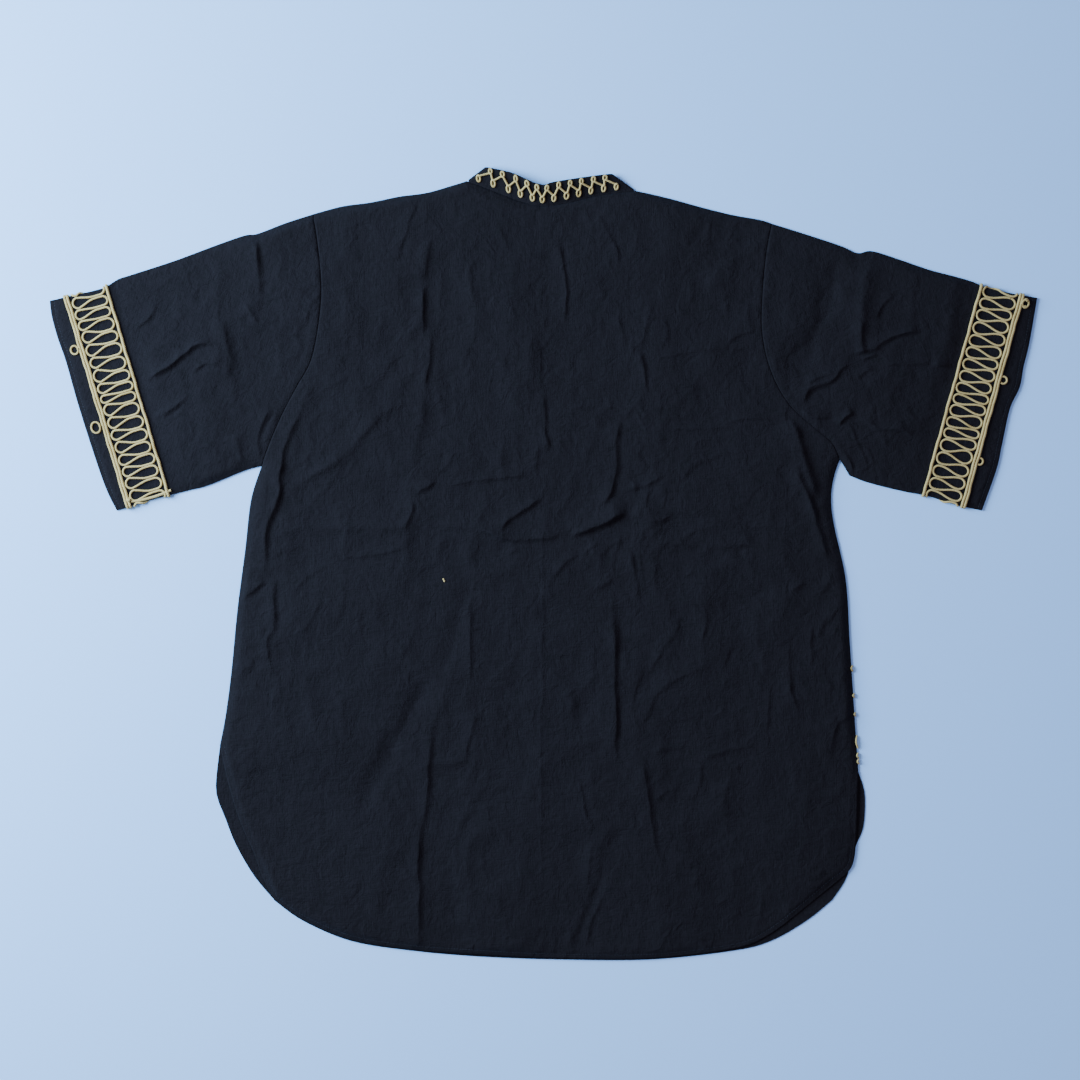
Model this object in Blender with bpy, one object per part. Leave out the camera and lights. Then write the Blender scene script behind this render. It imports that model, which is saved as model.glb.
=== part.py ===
"""Dashiki shirt in black cotton with couched cream cord, laid flat with its back up.

The front lies on the surface, the back lies on the front, and each sleeve is a flattened
tube beside them. X runs across the shirt, Y from hem to neck, Z up, with the origin under
the middle. Sizes in this file are millimetres and become metres where a mesh is made.
"""
import math
from collections import namedtuple

import bpy
from mathutils import Vector

MM = 0.001

# ---- driving dimensions, mm ----
WALL = 1.4               # cloth wall of front, back and sleeves
GAP = 0.3                # between pieces at a seam, and under what is sewn on
UPPER_BASE = 2 * WALL + GAP            # top of the upper layer where it lies flat
PUFF = 3.6               # how far the upper layer stands off the lower one inside
PUFF_REACH = 30.0        # distance over which it comes up from the outline
EDGE_FADE = 14.0         # folds die away this near the outline
CUFF_FLAT = 84.0         # the embroidered end of a sleeve lies flat for this length
CUFF_RAMP = 22.0
COLLAR_LIFT = 8.5        # rise of the collar's free edge at the middle of the back
COLLAR_END_LIFT = 3.0    # and at its two folded ends
COLLAR_END_CLEAR = 2.4   # its folded ends start this far above the neck points
SLIT_X = 5.0             # centre front slit
SLIT_BOTTOM = 155.0
SLIT_WIDTH = 1.0
FRONT_INSET = 0.4        # the front keeps this far inside the back's side seams

# ---- cords, mm ----
CORD_WIDTH = 2.4
CORD_HEIGHT = 1.6
CORD_CROWN = 0.55        # width of a cord's top face as a share of its width
PAIR_SHOULDER = 0.78     # a double cord's outer top edges, groove lips and groove depth,
PAIR_LIP = 0.28          # as shares of its half width and of its height
PAIR_GROOVE = 0.55
RAIL_OUTER = 5.6         # two cords side by side
RAIL_INNER = 3.0
BAND_WIDTH = 47.0        # over both rails
BAND_INSET = 2.0         # the band stops this far from the sleeve's two long edges
MEANDER_PERIODS = 17
MEANDER_STEPS = 12       # points in one period
MEANDER_SWAY = 0.25      # side swing of the bulbs as a share of the period
COLLAR_TURNS = 23        # eyes along the collar, upper and lower together
COLLAR_CORD_WIDTH = 1.8
COLLAR_CORD_HEIGHT = 1.1
COLLAR_BAND = 21.0       # visible height of the collar's back half
COLLAR_CORD_LOW = 0.32   # centres of the lower and upper eyes, as shares of that height
COLLAR_CORD_HIGH = 0.83
COLLAR_CORD_START = 0.045     # shares of the collar's length at the first and last eye
COLLAR_CORD_END = 0.92
EYE_RADIUS = 2.0
EYE_STEPS = 7
EYE_OPEN = 0.42          # opening of an eye at its neck, as a share of a half turn

# ---- mesh density ----
HEM_COLUMNS = 36
TAIL_ROWS = 8
SIDE_ROWS = 18
ARM_ROWS = 16
SHOULDER_COLUMNS = 11
NECK_COLUMNS = HEM_COLUMNS - 2 * SHOULDER_COLUMNS
SLEEVE_ROWS = 14
FRONT_NECK_COLUMNS = 16
COLLAR_ROWS = 3
CURVE_STEPS = 24

# ---- outlines, mm: (x, y), each read from the left or from the bottom ----
SHOULDER_LEFT = [(-237, 360), (-207, 368), (-178, 372), (-149, 378), (-120, 382), (-92, 390), (-79, 394)]
SHOULDER_RIGHT = [(95, 384), (117, 379), (137, 374), (166, 366), (195, 359), (223, 354), (235, 350)]
NECK_BACK = [(-79, 394), (-50, 383), (-24, 373), (-1, 368), (23, 371), (58, 379), (95, 384)]
NECK_FRONT = [(-79, 394), (-69, 360), (-48, 328), (-20, 310), (5, 305),
              (31, 309), (62, 324), (85, 350), (95, 384)]
COLLAR_EDGE_BACK = [(-60, 408), (-34, 402), (-20, 396), (-9, 391), (1, 389), (11, 392), (48, 398), (71, 401)]
COLLAR_EDGE_FRONT = [(-60, 408), (-42, 364), (-28, 343), (-8, 331), (7, 329),
                     (24, 331), (45, 341), (60, 362), (71, 401)]
ARMHOLE_LEFT = [(-290, 101), (-279, 130), (-266, 159), (-253, 183), (-239, 209),
                (-231, 246), (-228, 285), (-232, 329), (-237, 360)]
ARMHOLE_RIGHT = [(305, 108), (296, 125), (276, 142), (252, 165), (234, 198),
                 (225, 236), (225, 274), (229, 319), (235, 350)]
UNDERARM_RIGHT = (315, 91)     # the right sleeve droops to here below its armhole
SIDE_LEFT = [(-333, -187), (-327, -155), (-321, -109), (-315, -47), (-307, 15), (-301, 66), (-290, 101)]
SIDE_RIGHT = [(324, -214), (322, -186), (319, -140), (315, -78), (311, -16),
              (299, 40), (296, 68), (299, 90), (305, 108)]
BACK_TAIL_LEFT = [(-277, -346), (-290, -320), (-298, -297), (-312, -265), (-324, -227), (-333, -187)]
BACK_TAIL_RIGHT = [(297, -329), (312, -318), (319, -306), (322, -279), (323, -243), (324, -214)]
BACK_HEM = [(-277, -346), (-248, -366), (-197, -387), (-135, -397), (-65, -402), (17, -406),
            (110, -406), (195, -396), (231, -382), (269, -353), (297, -329)]
FRONT_TAIL_LEFT = [(-277, -346), (-295, -325), (-308, -305), (-319, -284), (-327, -263),
                   (-336, -240), (-337, -222), (-333, -187)]
FRONT_TAIL_RIGHT = [(297, -346), (311, -325), (317, -305), (322, -289), (329, -272),
                    (331, -250), (330, -232), (324, -214)]
FRONT_HEM = [(-277, -346), (-248, -367), (-198, -388), (-135, -398), (-65, -404), (17, -407),
             (110, -407), (195, -398), (234, -388), (271, -367), (297, -346)]
SLEEVE_TOP_LEFT = [(-237, 360), (-265, 351), (-294, 340), (-308, 338), (-337, 328), (-380, 312),
                   (-423, 298), (-438, 293), (-453, 284), (-481, 277), (-508, 271)]
SLEEVE_TOP_RIGHT = [(235, 350), (255, 344), (304, 328), (323, 320), (338, 322), (367, 313),
                    (396, 303), (419, 297), (440, 291), (454, 285), (483, 278), (508, 274)]
SEAM_LEFT = [(-290, 101), (-308, 96), (-345, 81), (-364, 76), (-400, 67), (-419, 61), (-439, 55)]
SEAM_RIGHT = [(315, 91), (330, 85), (352, 79), (374, 74), (395, 70), (424, 61), (451, 55)]
CUFF_LEFT = [(-439, 55), (-453, 85), (-477, 158), (-491, 207), (-500, 233), (-506, 255), (-508, 271)]
CUFF_RIGHT = [(451, 55), (466, 97), (472, 124), (480, 160), (490, 182), (494, 203), (500, 228), (508, 274)]

# ---- folds of the upper layer, mm: a path walked up or to the right, its rise, and how far
# it spreads on its left-hand and right-hand side; a negative rise is a trough ----
Fold = namedtuple("Fold", "name rise left right path")
FOLDS = [
    Fold("side fold, left", 6.0, 16, 9,
         [(-306, -36), (-292, -8), (-288, 36), (-280, 77), (-270, 128), (-250, 165)]),
    Fold("side fold, left, lower", 3.5, 14, 9, [(-286, -112), (-281, -53), (-278, -10)]),
    Fold("long fold beside the spine", 4.0, 18, 9,
         [(-148, 20), (-134, 80), (-129, 128), (-127, 188), (-122, 227), (-127, 260), (-120, 350)]),
    Fold("pull from the underarm", 2.8, 14, 12, [(-256, 78), (-204, 112), (-154, 168)]),
    Fold("waist fold, left", 2.6, 14, 10, [(-262, 36), (-196, 38), (-130, 40), (-52, 33), (16, 32)]),
    Fold("waist fold, right", 5.0, 16, 9,
         [(14, 22), (52, 43), (88, 57), (133, 60), (169, 54), (198, 42), (226, 8)]),
    Fold("short fold on the spine", 3.0, 10, 9, [(-52, 24), (4, 72)]),
    Fold("chest fold, left", 2.2, 12, 10, [(-136, 78), (-76, 91), (0, 101)]),
    Fold("upper spine fold", 3.2, 12, 9, [(16, 240), (17, 290), (14, 338)]),
    Fold("middle spine fold", 2.6, 10, 9, [(-3, 88), (-2, 117), (1, 182)]),
    Fold("chest fold, right", 3.2, 12, 9, [(48, 50), (68, 101), (74, 160)]),
    Fold("shoulder blade fold", 2.8, 10, 9, [(106, 168), (96, 230)]),
    Fold("side chest fold, right", 2.4, 12, 9, [(120, 136), (171, 139), (218, 154)]),
    Fold("broad trough below the waist", -3.4, 20, 14,
         [(-200, -272), (-168, -203), (-138, -125), (-100, -80), (-74, -10)]),
    Fold("crest beside the trough", 3.0, 12, 14, [(-176, -272), (-138, -200), (-98, -120), (-66, -56)]),
    Fold("long fold to the hem", 4.2, 16, 9,
         [(-133, -398), (-133, -350), (-132, -313), (-133, -281), (-126, -252), (-120, -194), (-113, -135)]),
    Fold("deep drop right of the spine", -3.6, 9, 9, [(80, -215), (73, -154), (72, -90), (73, -20)]),
    Fold("crest beside the drop", 3.2, 9, 16, [(94, -215), (88, -154), (87, -90), (88, -20)]),
    Fold("tail fold, right", 3.0, 14, 9, [(120, -318), (112, -280), (104, -245), (94, -190)]),
    Fold("tail fold, middle", 2.8, 14, 10, [(24, -384), (38, -307), (46, -276), (32, -222)]),
    Fold("hip pull, right", 3.6, 14, 9, [(182, 16), (249, -13), (276, -44)]),
    Fold("hip fold, right", 2.8, 12, 9, [(262, -172), (251, -140), (243, -66)]),
    Fold("side fold, right", 6.0, 16, 9, [(284, 22), (278, 64), (267, 101), (257, 140), (246, 170)]),
    Fold("shoulder trough, right", -2.6, 18, 18, [(172, 276), (196, 296), (230, 330)]),
    Fold("sleeve head fold, left", 3.8, 12, 9, [(-296, 268), (-297, 292), (-300, 338)]),
    Fold("sleeve fold, left", 3.6, 12, 9, [(-331, 184), (-332, 228), (-334, 258)]),
    Fold("elbow pull, left", 3.0, 12, 9, [(-412, 194), (-390, 203), (-361, 229), (-334, 232)]),
    Fold("underarm fold, left", 3.4, 12, 9, [(-297, 104), (-298, 131), (-284, 165)]),
    Fold("sleeve head fold, right", 5.0, 12, 9, [(324, 214), (319, 249), (324, 318)]),
    Fold("sleeve head trough, right", -3.2, 14, 12, [(232, 205), (266, 222), (284, 256), (305, 326)]),
    Fold("underarm fold, right", 5.0, 14, 9, [(258, 160), (274, 184), (299, 198), (344, 226)]),
    Fold("underarm pull, right", 2.6, 10, 9, [(262, 152), (291, 148), (322, 152)]),
    Fold("elbow pull, right", 2.6, 12, 9, [(344, 222), (367, 244), (396, 247)]),
    Fold("sleeve fold, right", 2.6, 12, 9, [(318, 152), (347, 142), (376, 146)]),
]

# ---- cuff bands, mm: the outer rail's outer edge, from the sleeve's folded top to its seam,
# the side on which the inner rail lies, and the small loops outside the rail: how far along
# it each sits, its radius and how far it reaches out ----
Loop = namedtuple("Loop", "along radius reach")
Band = namedtuple("Band", "side start end inward loops")
BANDS = [
    Band("left", (-493, 272), (-430, 61), 1, [Loop(53, 4.0, 10.5), Loop(135, 4.9, 12.3)]),
    Band("right", (494, 274), (435, 61), -1,
         [Loop(8, 3.4, 7.5), Loop(88, 3.8, 7.0), Loop(175, 3.8, 5.5)]),
]
LOOP_CORD = 2.2
LOOP_STEPS = 12

SHARP_ANGLE = math.radians(40)
BLACK_COTTON = (0.012, 0.014, 0.021, 1.0)
CREAM_CORD = (0.72, 0.58, 0.31, 1.0)
COTTON_ROUGHNESS = 0.85
CORD_ROUGHNESS = 0.7


# ---- lines and grids ----

def evenly(points, count):
    """Resample a line at count + 1 points, evenly spaced along its length."""
    lengths = [0.0]
    for a, b in zip(points, points[1:]):
        lengths.append(lengths[-1] + math.dist(a, b))
    result = []
    k = 0
    for step in range(count + 1):
        target = lengths[-1] * step / count
        while k < len(points) - 2 and lengths[k + 1] < target:
            k += 1
        share = (target - lengths[k]) / (lengths[k + 1] - lengths[k])
        result.append(between(points[k], points[k + 1], share))
    return result


def between(a, b, share):
    """The point at a share of the way from a to b."""
    return tuple(p + (q - p) * share for p, q in zip(a, b))


def smooth_line(corners, count):
    """Count + 1 even points of a soft curve through the corners."""
    last = len(corners) - 1
    dense = []
    for k in range(last):
        p0 = corners[max(k - 1, 0)]
        p1 = corners[k]
        p2 = corners[k + 1]
        p3 = corners[min(k + 2, last)]
        for step in range(CURVE_STEPS):
            t = step / CURVE_STEPS
            dense.append(tuple(
                0.5 * (2 * b + (c - a) * t + (2 * a - 5 * b + 4 * c - d) * t ** 2
                       + (3 * b - a - 3 * c + d) * t ** 3)
                for a, b, c, d in zip(p0, p1, p2, p3)))
    dense.append(corners[-1])
    return evenly(dense, count)


def joined(*lines):
    """One line from several, each of which starts where the last one ends."""
    result = list(lines[0])
    for line in lines[1:]:
        result.extend(line[1:])
    return result


def patch(bottom, top, left, right):
    """A grid of points between four edge lines, read from the left and from the bottom."""
    columns = len(bottom) - 1
    rows = len(left) - 1
    grid = []
    for j in range(rows + 1):
        v = j / rows
        row = []
        for i in range(columns + 1):
            u = i / columns
            row.append(tuple(
                (1 - v) * bottom[i][k] + v * top[i][k] + (1 - u) * left[j][k] + u * right[j][k]
                - (1 - u) * (1 - v) * bottom[0][k] - u * (1 - v) * bottom[-1][k]
                - (1 - u) * v * top[0][k] - u * v * top[-1][k]
                for k in (0, 1)))
        grid.append(row)
    return grid


def shifted(line, distance):
    """A line moved to its left-hand side by a distance."""
    result = []
    for k, point in enumerate(line):
        a = line[max(k - 1, 0)]
        b = line[min(k + 1, len(line) - 1)]
        length = math.dist(a, b)
        result.append((point[0] - (b[1] - a[1]) / length * distance,
                       point[1] + (b[0] - a[0]) / length * distance))
    return result


# ---- the seams and edges that pieces share ----

armhole_left = smooth_line(ARMHOLE_LEFT, ARM_ROWS)
armhole_right = smooth_line(ARMHOLE_RIGHT, ARM_ROWS)
shoulder_left = smooth_line(SHOULDER_LEFT, SHOULDER_COLUMNS)
shoulder_right = smooth_line(SHOULDER_RIGHT, SHOULDER_COLUMNS)
neck_back = smooth_line(NECK_BACK, NECK_COLUMNS)
neck_front = smooth_line(NECK_FRONT, FRONT_NECK_COLUMNS)
side_left = smooth_line(SIDE_LEFT, SIDE_ROWS)
side_right = smooth_line(SIDE_RIGHT, SIDE_ROWS)
back_left = joined(smooth_line(BACK_TAIL_LEFT, TAIL_ROWS), side_left, armhole_left)
back_right = joined(smooth_line(BACK_TAIL_RIGHT, TAIL_ROWS), side_right, armhole_right)
back_top = joined(shoulder_left, neck_back, shoulder_right)
back_hem = smooth_line(BACK_HEM, HEM_COLUMNS)
sleeve_top_left = smooth_line(SLEEVE_TOP_LEFT, SLEEVE_ROWS)
sleeve_top_right = smooth_line(SLEEVE_TOP_RIGHT, SLEEVE_ROWS)
seam_left = smooth_line(SEAM_LEFT, SLEEVE_ROWS)
seam_right = smooth_line(SEAM_RIGHT, SLEEVE_ROWS)
cuff_left = smooth_line(CUFF_LEFT, ARM_ROWS)
cuff_right = smooth_line(CUFF_RIGHT, ARM_ROWS + 1)

upper_outline = joined(
    back_hem, smooth_line(BACK_TAIL_RIGHT, TAIL_ROWS), side_right, [side_right[-1]] + seam_right,
    cuff_right, sleeve_top_right[::-1], shoulder_right[::-1], neck_back[::-1], shoulder_left[::-1],
    sleeve_top_left, cuff_left[::-1], seam_left[::-1], side_left[::-1],
    smooth_line(BACK_TAIL_LEFT, TAIL_ROWS)[::-1])


# ---- the form of the upper layer ----

def nearest(point, line):
    """Distance to a line, share of its length at the nearest place, and the side it is on."""
    best = (1e9, 0.0, 1.0)
    total = sum(math.dist(a, b) for a, b in zip(line, line[1:]))
    walked = 0.0
    for a, b in zip(line, line[1:]):
        dx = b[0] - a[0]
        dy = b[1] - a[1]
        length = math.hypot(dx, dy)
        across = (point[0] - a[0], point[1] - a[1])
        share = min(max((across[0] * dx + across[1] * dy) / length ** 2, 0.0), 1.0)
        distance = math.dist(point, (a[0] + dx * share, a[1] + dy * share))
        if distance < best[0]:
            side = 1.0 if dx * across[1] - dy * across[0] >= 0 else -1.0
            best = (distance, (walked + length * share) / total, side)
        walked += length
    return best


def ease(value):
    """A soft step from 0 to 1 as the value goes from 0 to 1."""
    value = min(max(value, 0.0), 1.0)
    return value * value * (3 - 2 * value)


def fold_rise(point):
    """Sum of the folds at a point: each swells along its path and dies at both ends."""
    total = 0.0
    for fold in FOLDS:
        distance, along, side = nearest(point, fold.path)
        spread = fold.left if side > 0 else fold.right
        if distance < 3 * spread:
            swell = ease(along / 0.25) * ease((1 - along) / 0.25)
            total += fold.rise * swell * math.exp(-(distance / spread) ** 2)
    return total


def upper_height(point):
    """Height of the upper layer's outer face over the surface it lies on."""
    edge = nearest(point, upper_outline)[0]
    cuff = min(nearest(point, cuff_left)[0], nearest(point, cuff_right)[0])
    loose = ease(edge / EDGE_FADE) * ease((cuff - CUFF_FLAT) / CUFF_RAMP)
    puff = PUFF * (1 - math.exp(-edge / PUFF_REACH))
    return UPPER_BASE + loose * max(puff + fold_rise(point), 0.0)


# ---- meshes ----

def add_object(name, mesh, colour, roughness):
    """Put a finished mesh in the scene with its own material."""
    mesh.shade_smooth()
    mesh.set_sharp_from_angle(angle=SHARP_ANGLE)
    material = bpy.data.materials.new(name + "_cloth")
    material.use_nodes = True
    shader = material.node_tree.nodes["Principled BSDF"]
    shader.inputs["Base Color"].default_value = colour
    shader.inputs["Roughness"].default_value = roughness
    shader.inputs["Metallic"].default_value = 0.0
    mesh.materials.append(material)
    shirt.objects.link(bpy.data.objects.new(name, mesh))


def wall(name, outer, inner, tube):
    """A closed wall between two grids of points; the rows of a tube close on themselves."""
    rows = len(outer)
    columns = len(outer[0])
    points = [point for grid in (outer, inner) for row in grid for point in row]
    spans = columns if tube else columns - 1

    def index(layer, j, i):
        return layer * rows * columns + j * columns + i % columns

    faces = []
    for j in range(rows - 1):
        for i in range(spans):
            faces.append([index(0, j, i), index(0, j, i + 1), index(0, j + 1, i + 1), index(0, j + 1, i)])
            faces.append([index(1, j, i), index(1, j + 1, i), index(1, j + 1, i + 1), index(1, j, i + 1)])
    for i in range(spans):
        faces.append([index(0, 0, i + 1), index(0, 0, i), index(1, 0, i), index(1, 0, i + 1)])
        faces.append([index(0, rows - 1, i), index(0, rows - 1, i + 1),
                      index(1, rows - 1, i + 1), index(1, rows - 1, i)])
    if not tube:
        for j in range(rows - 1):
            faces.append([index(0, j, 0), index(0, j + 1, 0), index(1, j + 1, 0), index(1, j, 0)])
            faces.append([index(0, j + 1, spans), index(0, j, spans),
                          index(1, j, spans), index(1, j + 1, spans)])
    if signed_volume(points, faces) < 0:
        faces = [face[::-1] for face in faces]
    mesh = bpy.data.meshes.new(name)
    mesh.from_pydata([Vector(point) * MM for point in points], [], faces)
    add_object(name, mesh, BLACK_COTTON, COTTON_ROUGHNESS)


def signed_volume(points, faces):
    """Volume inside the faces, negative if they point inwards."""
    total = 0.0
    for face in faces:
        a = Vector(points[face[0]])
        for k in range(1, len(face) - 1):
            total += a.dot(Vector(points[face[k]]).cross(Vector(points[face[k + 1]])))
    return total / 6


# ---- panels ----

def make_front():
    """The front, a flat cut piece with its neck, its slit and its longer tail."""
    half_slit = SLIT_WIDTH / 2
    neck = [p for p in neck_front if abs(p[0] - SLIT_X) > half_slit]
    left_neck = [p for p in neck if p[0] < SLIT_X]
    right_neck = [p for p in neck if p[0] > SLIT_X]
    neck_depth = NECK_FRONT[4][1]
    slit = [(SLIT_X - half_slit, neck_depth), (SLIT_X - half_slit, SLIT_BOTTOM),
            (SLIT_X + half_slit, SLIT_BOTTOM), (SLIT_X + half_slit, neck_depth)]
    inset_left = shifted(side_left, -FRONT_INSET)
    inset_right = shifted(side_right, FRONT_INSET)
    outline = joined(
        smooth_line(FRONT_HEM, HEM_COLUMNS), smooth_line(FRONT_TAIL_RIGHT, TAIL_ROWS),
        inset_right, armhole_right, shoulder_right[::-1])
    outline += right_neck[::-1][1:] + slit[::-1] + left_neck[::-1]
    outline += joined(shoulder_left[::-1], armhole_left[::-1], inset_left[::-1],
                      smooth_line(FRONT_TAIL_LEFT, TAIL_ROWS)[::-1])[1:-1]
    curve = bpy.data.curves.new("front_outline", "CURVE")
    curve.dimensions = "2D"
    curve.fill_mode = "BOTH"
    curve.extrude = WALL / 2 * MM
    spline = curve.splines.new("POLY")
    spline.points.add(len(outline) - 1)
    for place, point in zip(spline.points, outline):
        place.co = (point[0] * MM, point[1] * MM, WALL / 2 * MM, 1.0)
    spline.use_cyclic_u = True
    guide = bpy.data.objects.new("front_guide", curve)
    shirt.objects.link(guide)
    mesh = bpy.data.meshes.new_from_object(guide.evaluated_get(bpy.context.evaluated_depsgraph_get()))
    bpy.data.objects.remove(guide)
    mesh.name = "front"
    add_object("front", mesh, BLACK_COTTON, COTTON_ROUGHNESS)


def make_back():
    """The back, laid over the front, with its folds."""
    grid = patch(back_hem, back_top, back_left, back_right)
    outer = [[(x, y, upper_height((x, y))) for x, y in row] for row in grid]
    inner = [[(x, y, z - WALL) for x, y, z in row] for row in outer]
    wall("back", outer, inner, tube=False)


def flat_ring(row, heights, thickness, inset):
    """One ring of a flattened tube: along its top face and back under it.

    The row runs from one long edge to the other. The outer ring has inset 0 and goes right
    to the edges; the inner ring keeps inside them by the wall's thickness.
    """
    first = between(row[0], row[1], inset / math.dist(row[0], row[1]))
    last = between(row[-1], row[-2], inset / math.dist(row[-1], row[-2]))
    turn = inset + thickness
    first_turn = between(row[0], row[1], turn / math.dist(row[0], row[1]))
    last_turn = between(row[-1], row[-2], turn / math.dist(row[-1], row[-2]))
    places = [first_turn] + list(row[1:-1]) + [last_turn]
    top = [(x, y, z - inset) for (x, y), z in zip(places, heights)]
    under = [(x, y, inset) for x, y in places[::-1]]
    middles = [(top[-1][2] + inset) / 2, (top[0][2] + inset) / 2]
    return top + [(*last, middles[0])] + under + [(*first, middles[1])]


def make_sleeve(side, seam, top, armhole, droop, cuff):
    """A sleeve, folded along its top edge and closed by the seam along its lower edge.

    The droop is where its end hangs to below the armhole, or nothing.
    """
    apart = GAP if side == "right" else -GAP
    start = droop + shifted(armhole, -apart)
    grid = patch(start, cuff, joined_ends(start[0], seam), joined_ends(start[-1], top))
    outer = []
    inner = []
    for row in grid:
        heights = [upper_height(point) for point in row]
        heights[0] = UPPER_BASE
        heights[-1] = UPPER_BASE
        outer.append(flat_ring(row, heights, WALL, 0.0))
        inner.append(flat_ring(row, heights, WALL, WALL))
    wall("sleeve_" + side, outer, inner, tube=True)


def joined_ends(start, line):
    """A line whose first point is moved to the given start."""
    return [start] + list(line[1:])


# ---- collar ----

def collar_ring(share):
    """Seam and free edge lines of the collar at a share of its height, back then front."""
    seam_back = shifted(neck_back, GAP)
    seam_front = shifted(neck_front, GAP)
    edge_back = smooth_line(COLLAR_EDGE_BACK, NECK_COLUMNS)
    edge_front = smooth_line(COLLAR_EDGE_FRONT, FRONT_NECK_COLUMNS)
    for end in (0, -1):
        seam_back[end] = toward(seam_back[end], edge_back[end], COLLAR_END_CLEAR)
        seam_front[end] = seam_back[end]
    back = [between(a, b, share) for a, b in zip(seam_back, edge_back)]
    front = [between(a, b, share) for a, b in zip(seam_front, edge_front)]
    return back, front


def collar_top(share, along):
    """Height of the collar's back half: its free edge lifts most at the middle."""
    lift = COLLAR_END_LIFT + (COLLAR_LIFT - COLLAR_END_LIFT) * math.sin(math.pi * along) ** 0.7
    return UPPER_BASE + lift * share


def make_collar():
    """The stand collar, its back half lifted over its front half, open at centre front."""
    outer = []
    inner = []
    for j in range(COLLAR_ROWS + 1):
        share = j / COLLAR_ROWS
        back, front = collar_ring(share)
        outer.append(collar_line(back, front, share, 0.0))
        inner.append(collar_line(back, front, share, WALL))
    wall("collar", outer, inner, tube=False)


def collar_line(back, front, share, inset):
    """One line round the neck, from one end at the slit to the other."""
    half_slit = SLIT_WIDTH / 2
    middle = FRONT_NECK_COLUMNS // 2
    right_end = (SLIT_X + half_slit, front[middle][1])
    left_end = (SLIT_X - half_slit, front[middle][1])
    right_front = [right_end] + front[middle + 1:-1]
    left_front = front[1:middle] + [left_end]
    turn = inset + WALL
    line = [(x, y, inset) for x, y in right_front]
    last = back[-1]
    first = back[0]
    top_last = collar_top(share, 1.0)
    top_first = collar_top(share, 0.0)
    line.append((*toward(last, front[-2], turn), inset))
    line.append((*toward(last, middle_of(back[-2], front[-2]), inset), top_last / 2))
    line.append((*toward(last, back[-2], turn), top_last - inset))
    count = len(back) - 1
    for k in range(count - 1, 0, -1):
        line.append((*back[k], collar_top(share, k / count) - inset))
    line.append((*toward(first, back[1], turn), top_first - inset))
    line.append((*toward(first, middle_of(back[1], front[1]), inset), top_first / 2))
    line.append((*toward(first, front[1], turn), inset))
    line += [(x, y, inset) for x, y in left_front]
    return line


def toward(a, b, distance):
    """The point a distance from a towards b."""
    return between(a, b, distance / math.dist(a, b))


def middle_of(a, b):
    """The point halfway between two others."""
    return between(a, b, 0.5)


# ---- cords ----

def cord(name, places, normals, profile, closed=False):
    """A sewn cord along places on a surface; the profile is (across, up) points, left to right."""
    count = len(places)
    rings = []
    for k in range(count):
        before = places[k - 1] if k or closed else places[k]
        after = places[(k + 1) % count] if k < count - 1 or closed else places[k]
        normal = Vector(normals[k])
        forward = (Vector(after) - Vector(before)).normalized()
        across = normal.cross(forward).normalized()
        widen = 1.0
        if before is not places[k] and after is not places[k]:
            turn = (Vector(places[k]) - Vector(before)).angle(Vector(after) - Vector(places[k]))
            widen = 1 / max(math.cos(turn / 2), 0.7)
        centre = Vector(places[k])
        rings.append([centre + across * (side * widen) + normal * up for side, up in profile])
    size = len(profile)
    points = [point for ring in rings for point in ring]
    faces = []
    for k in range(count if closed else count - 1):
        for i in range(size):
            faces.append([k * size + i, k * size + (i + 1) % size,
                          (k + 1) % count * size + (i + 1) % size, (k + 1) % count * size + i])
    if not closed:
        faces.append(list(range(size))[::-1])
        faces.append([(count - 1) * size + i for i in range(size)])
    if signed_volume(points, faces) < 0:
        faces = [face[::-1] for face in faces]
    mesh = bpy.data.meshes.new(name)
    mesh.from_pydata([point * MM for point in points], [], faces)
    add_object(name, mesh, CREAM_CORD, CORD_ROUGHNESS)


def single_profile(width, height):
    """Section of one cord, standing a seam's gap off the cloth."""
    half = width / 2
    crown = half * CORD_CROWN
    return [(-half, GAP), (half, GAP), (crown, GAP + height), (-crown, GAP + height)]


def double_profile(width, height):
    """Section of two cords side by side, with the groove between them."""
    half = width / 2
    top = GAP + height
    shoulder = half * PAIR_SHOULDER
    lip = half * PAIR_LIP
    groove = GAP + height * PAIR_GROOVE
    return [(-half, GAP), (half, GAP), (shoulder, top), (lip, top), (0.0, groove),
            (-lip, top), (-shoulder, top)]


def band_place(band, along, inward):
    """A point of a cuff band: millimetres along it and in from its outer edge."""
    direction = (Vector(band.end) - Vector(band.start)).normalized()
    inward_direction = Vector((-direction.y, direction.x)) * band.inward
    place = Vector(band.start) + direction * along + inward_direction * inward
    return (place.x, place.y, UPPER_BASE)


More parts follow.
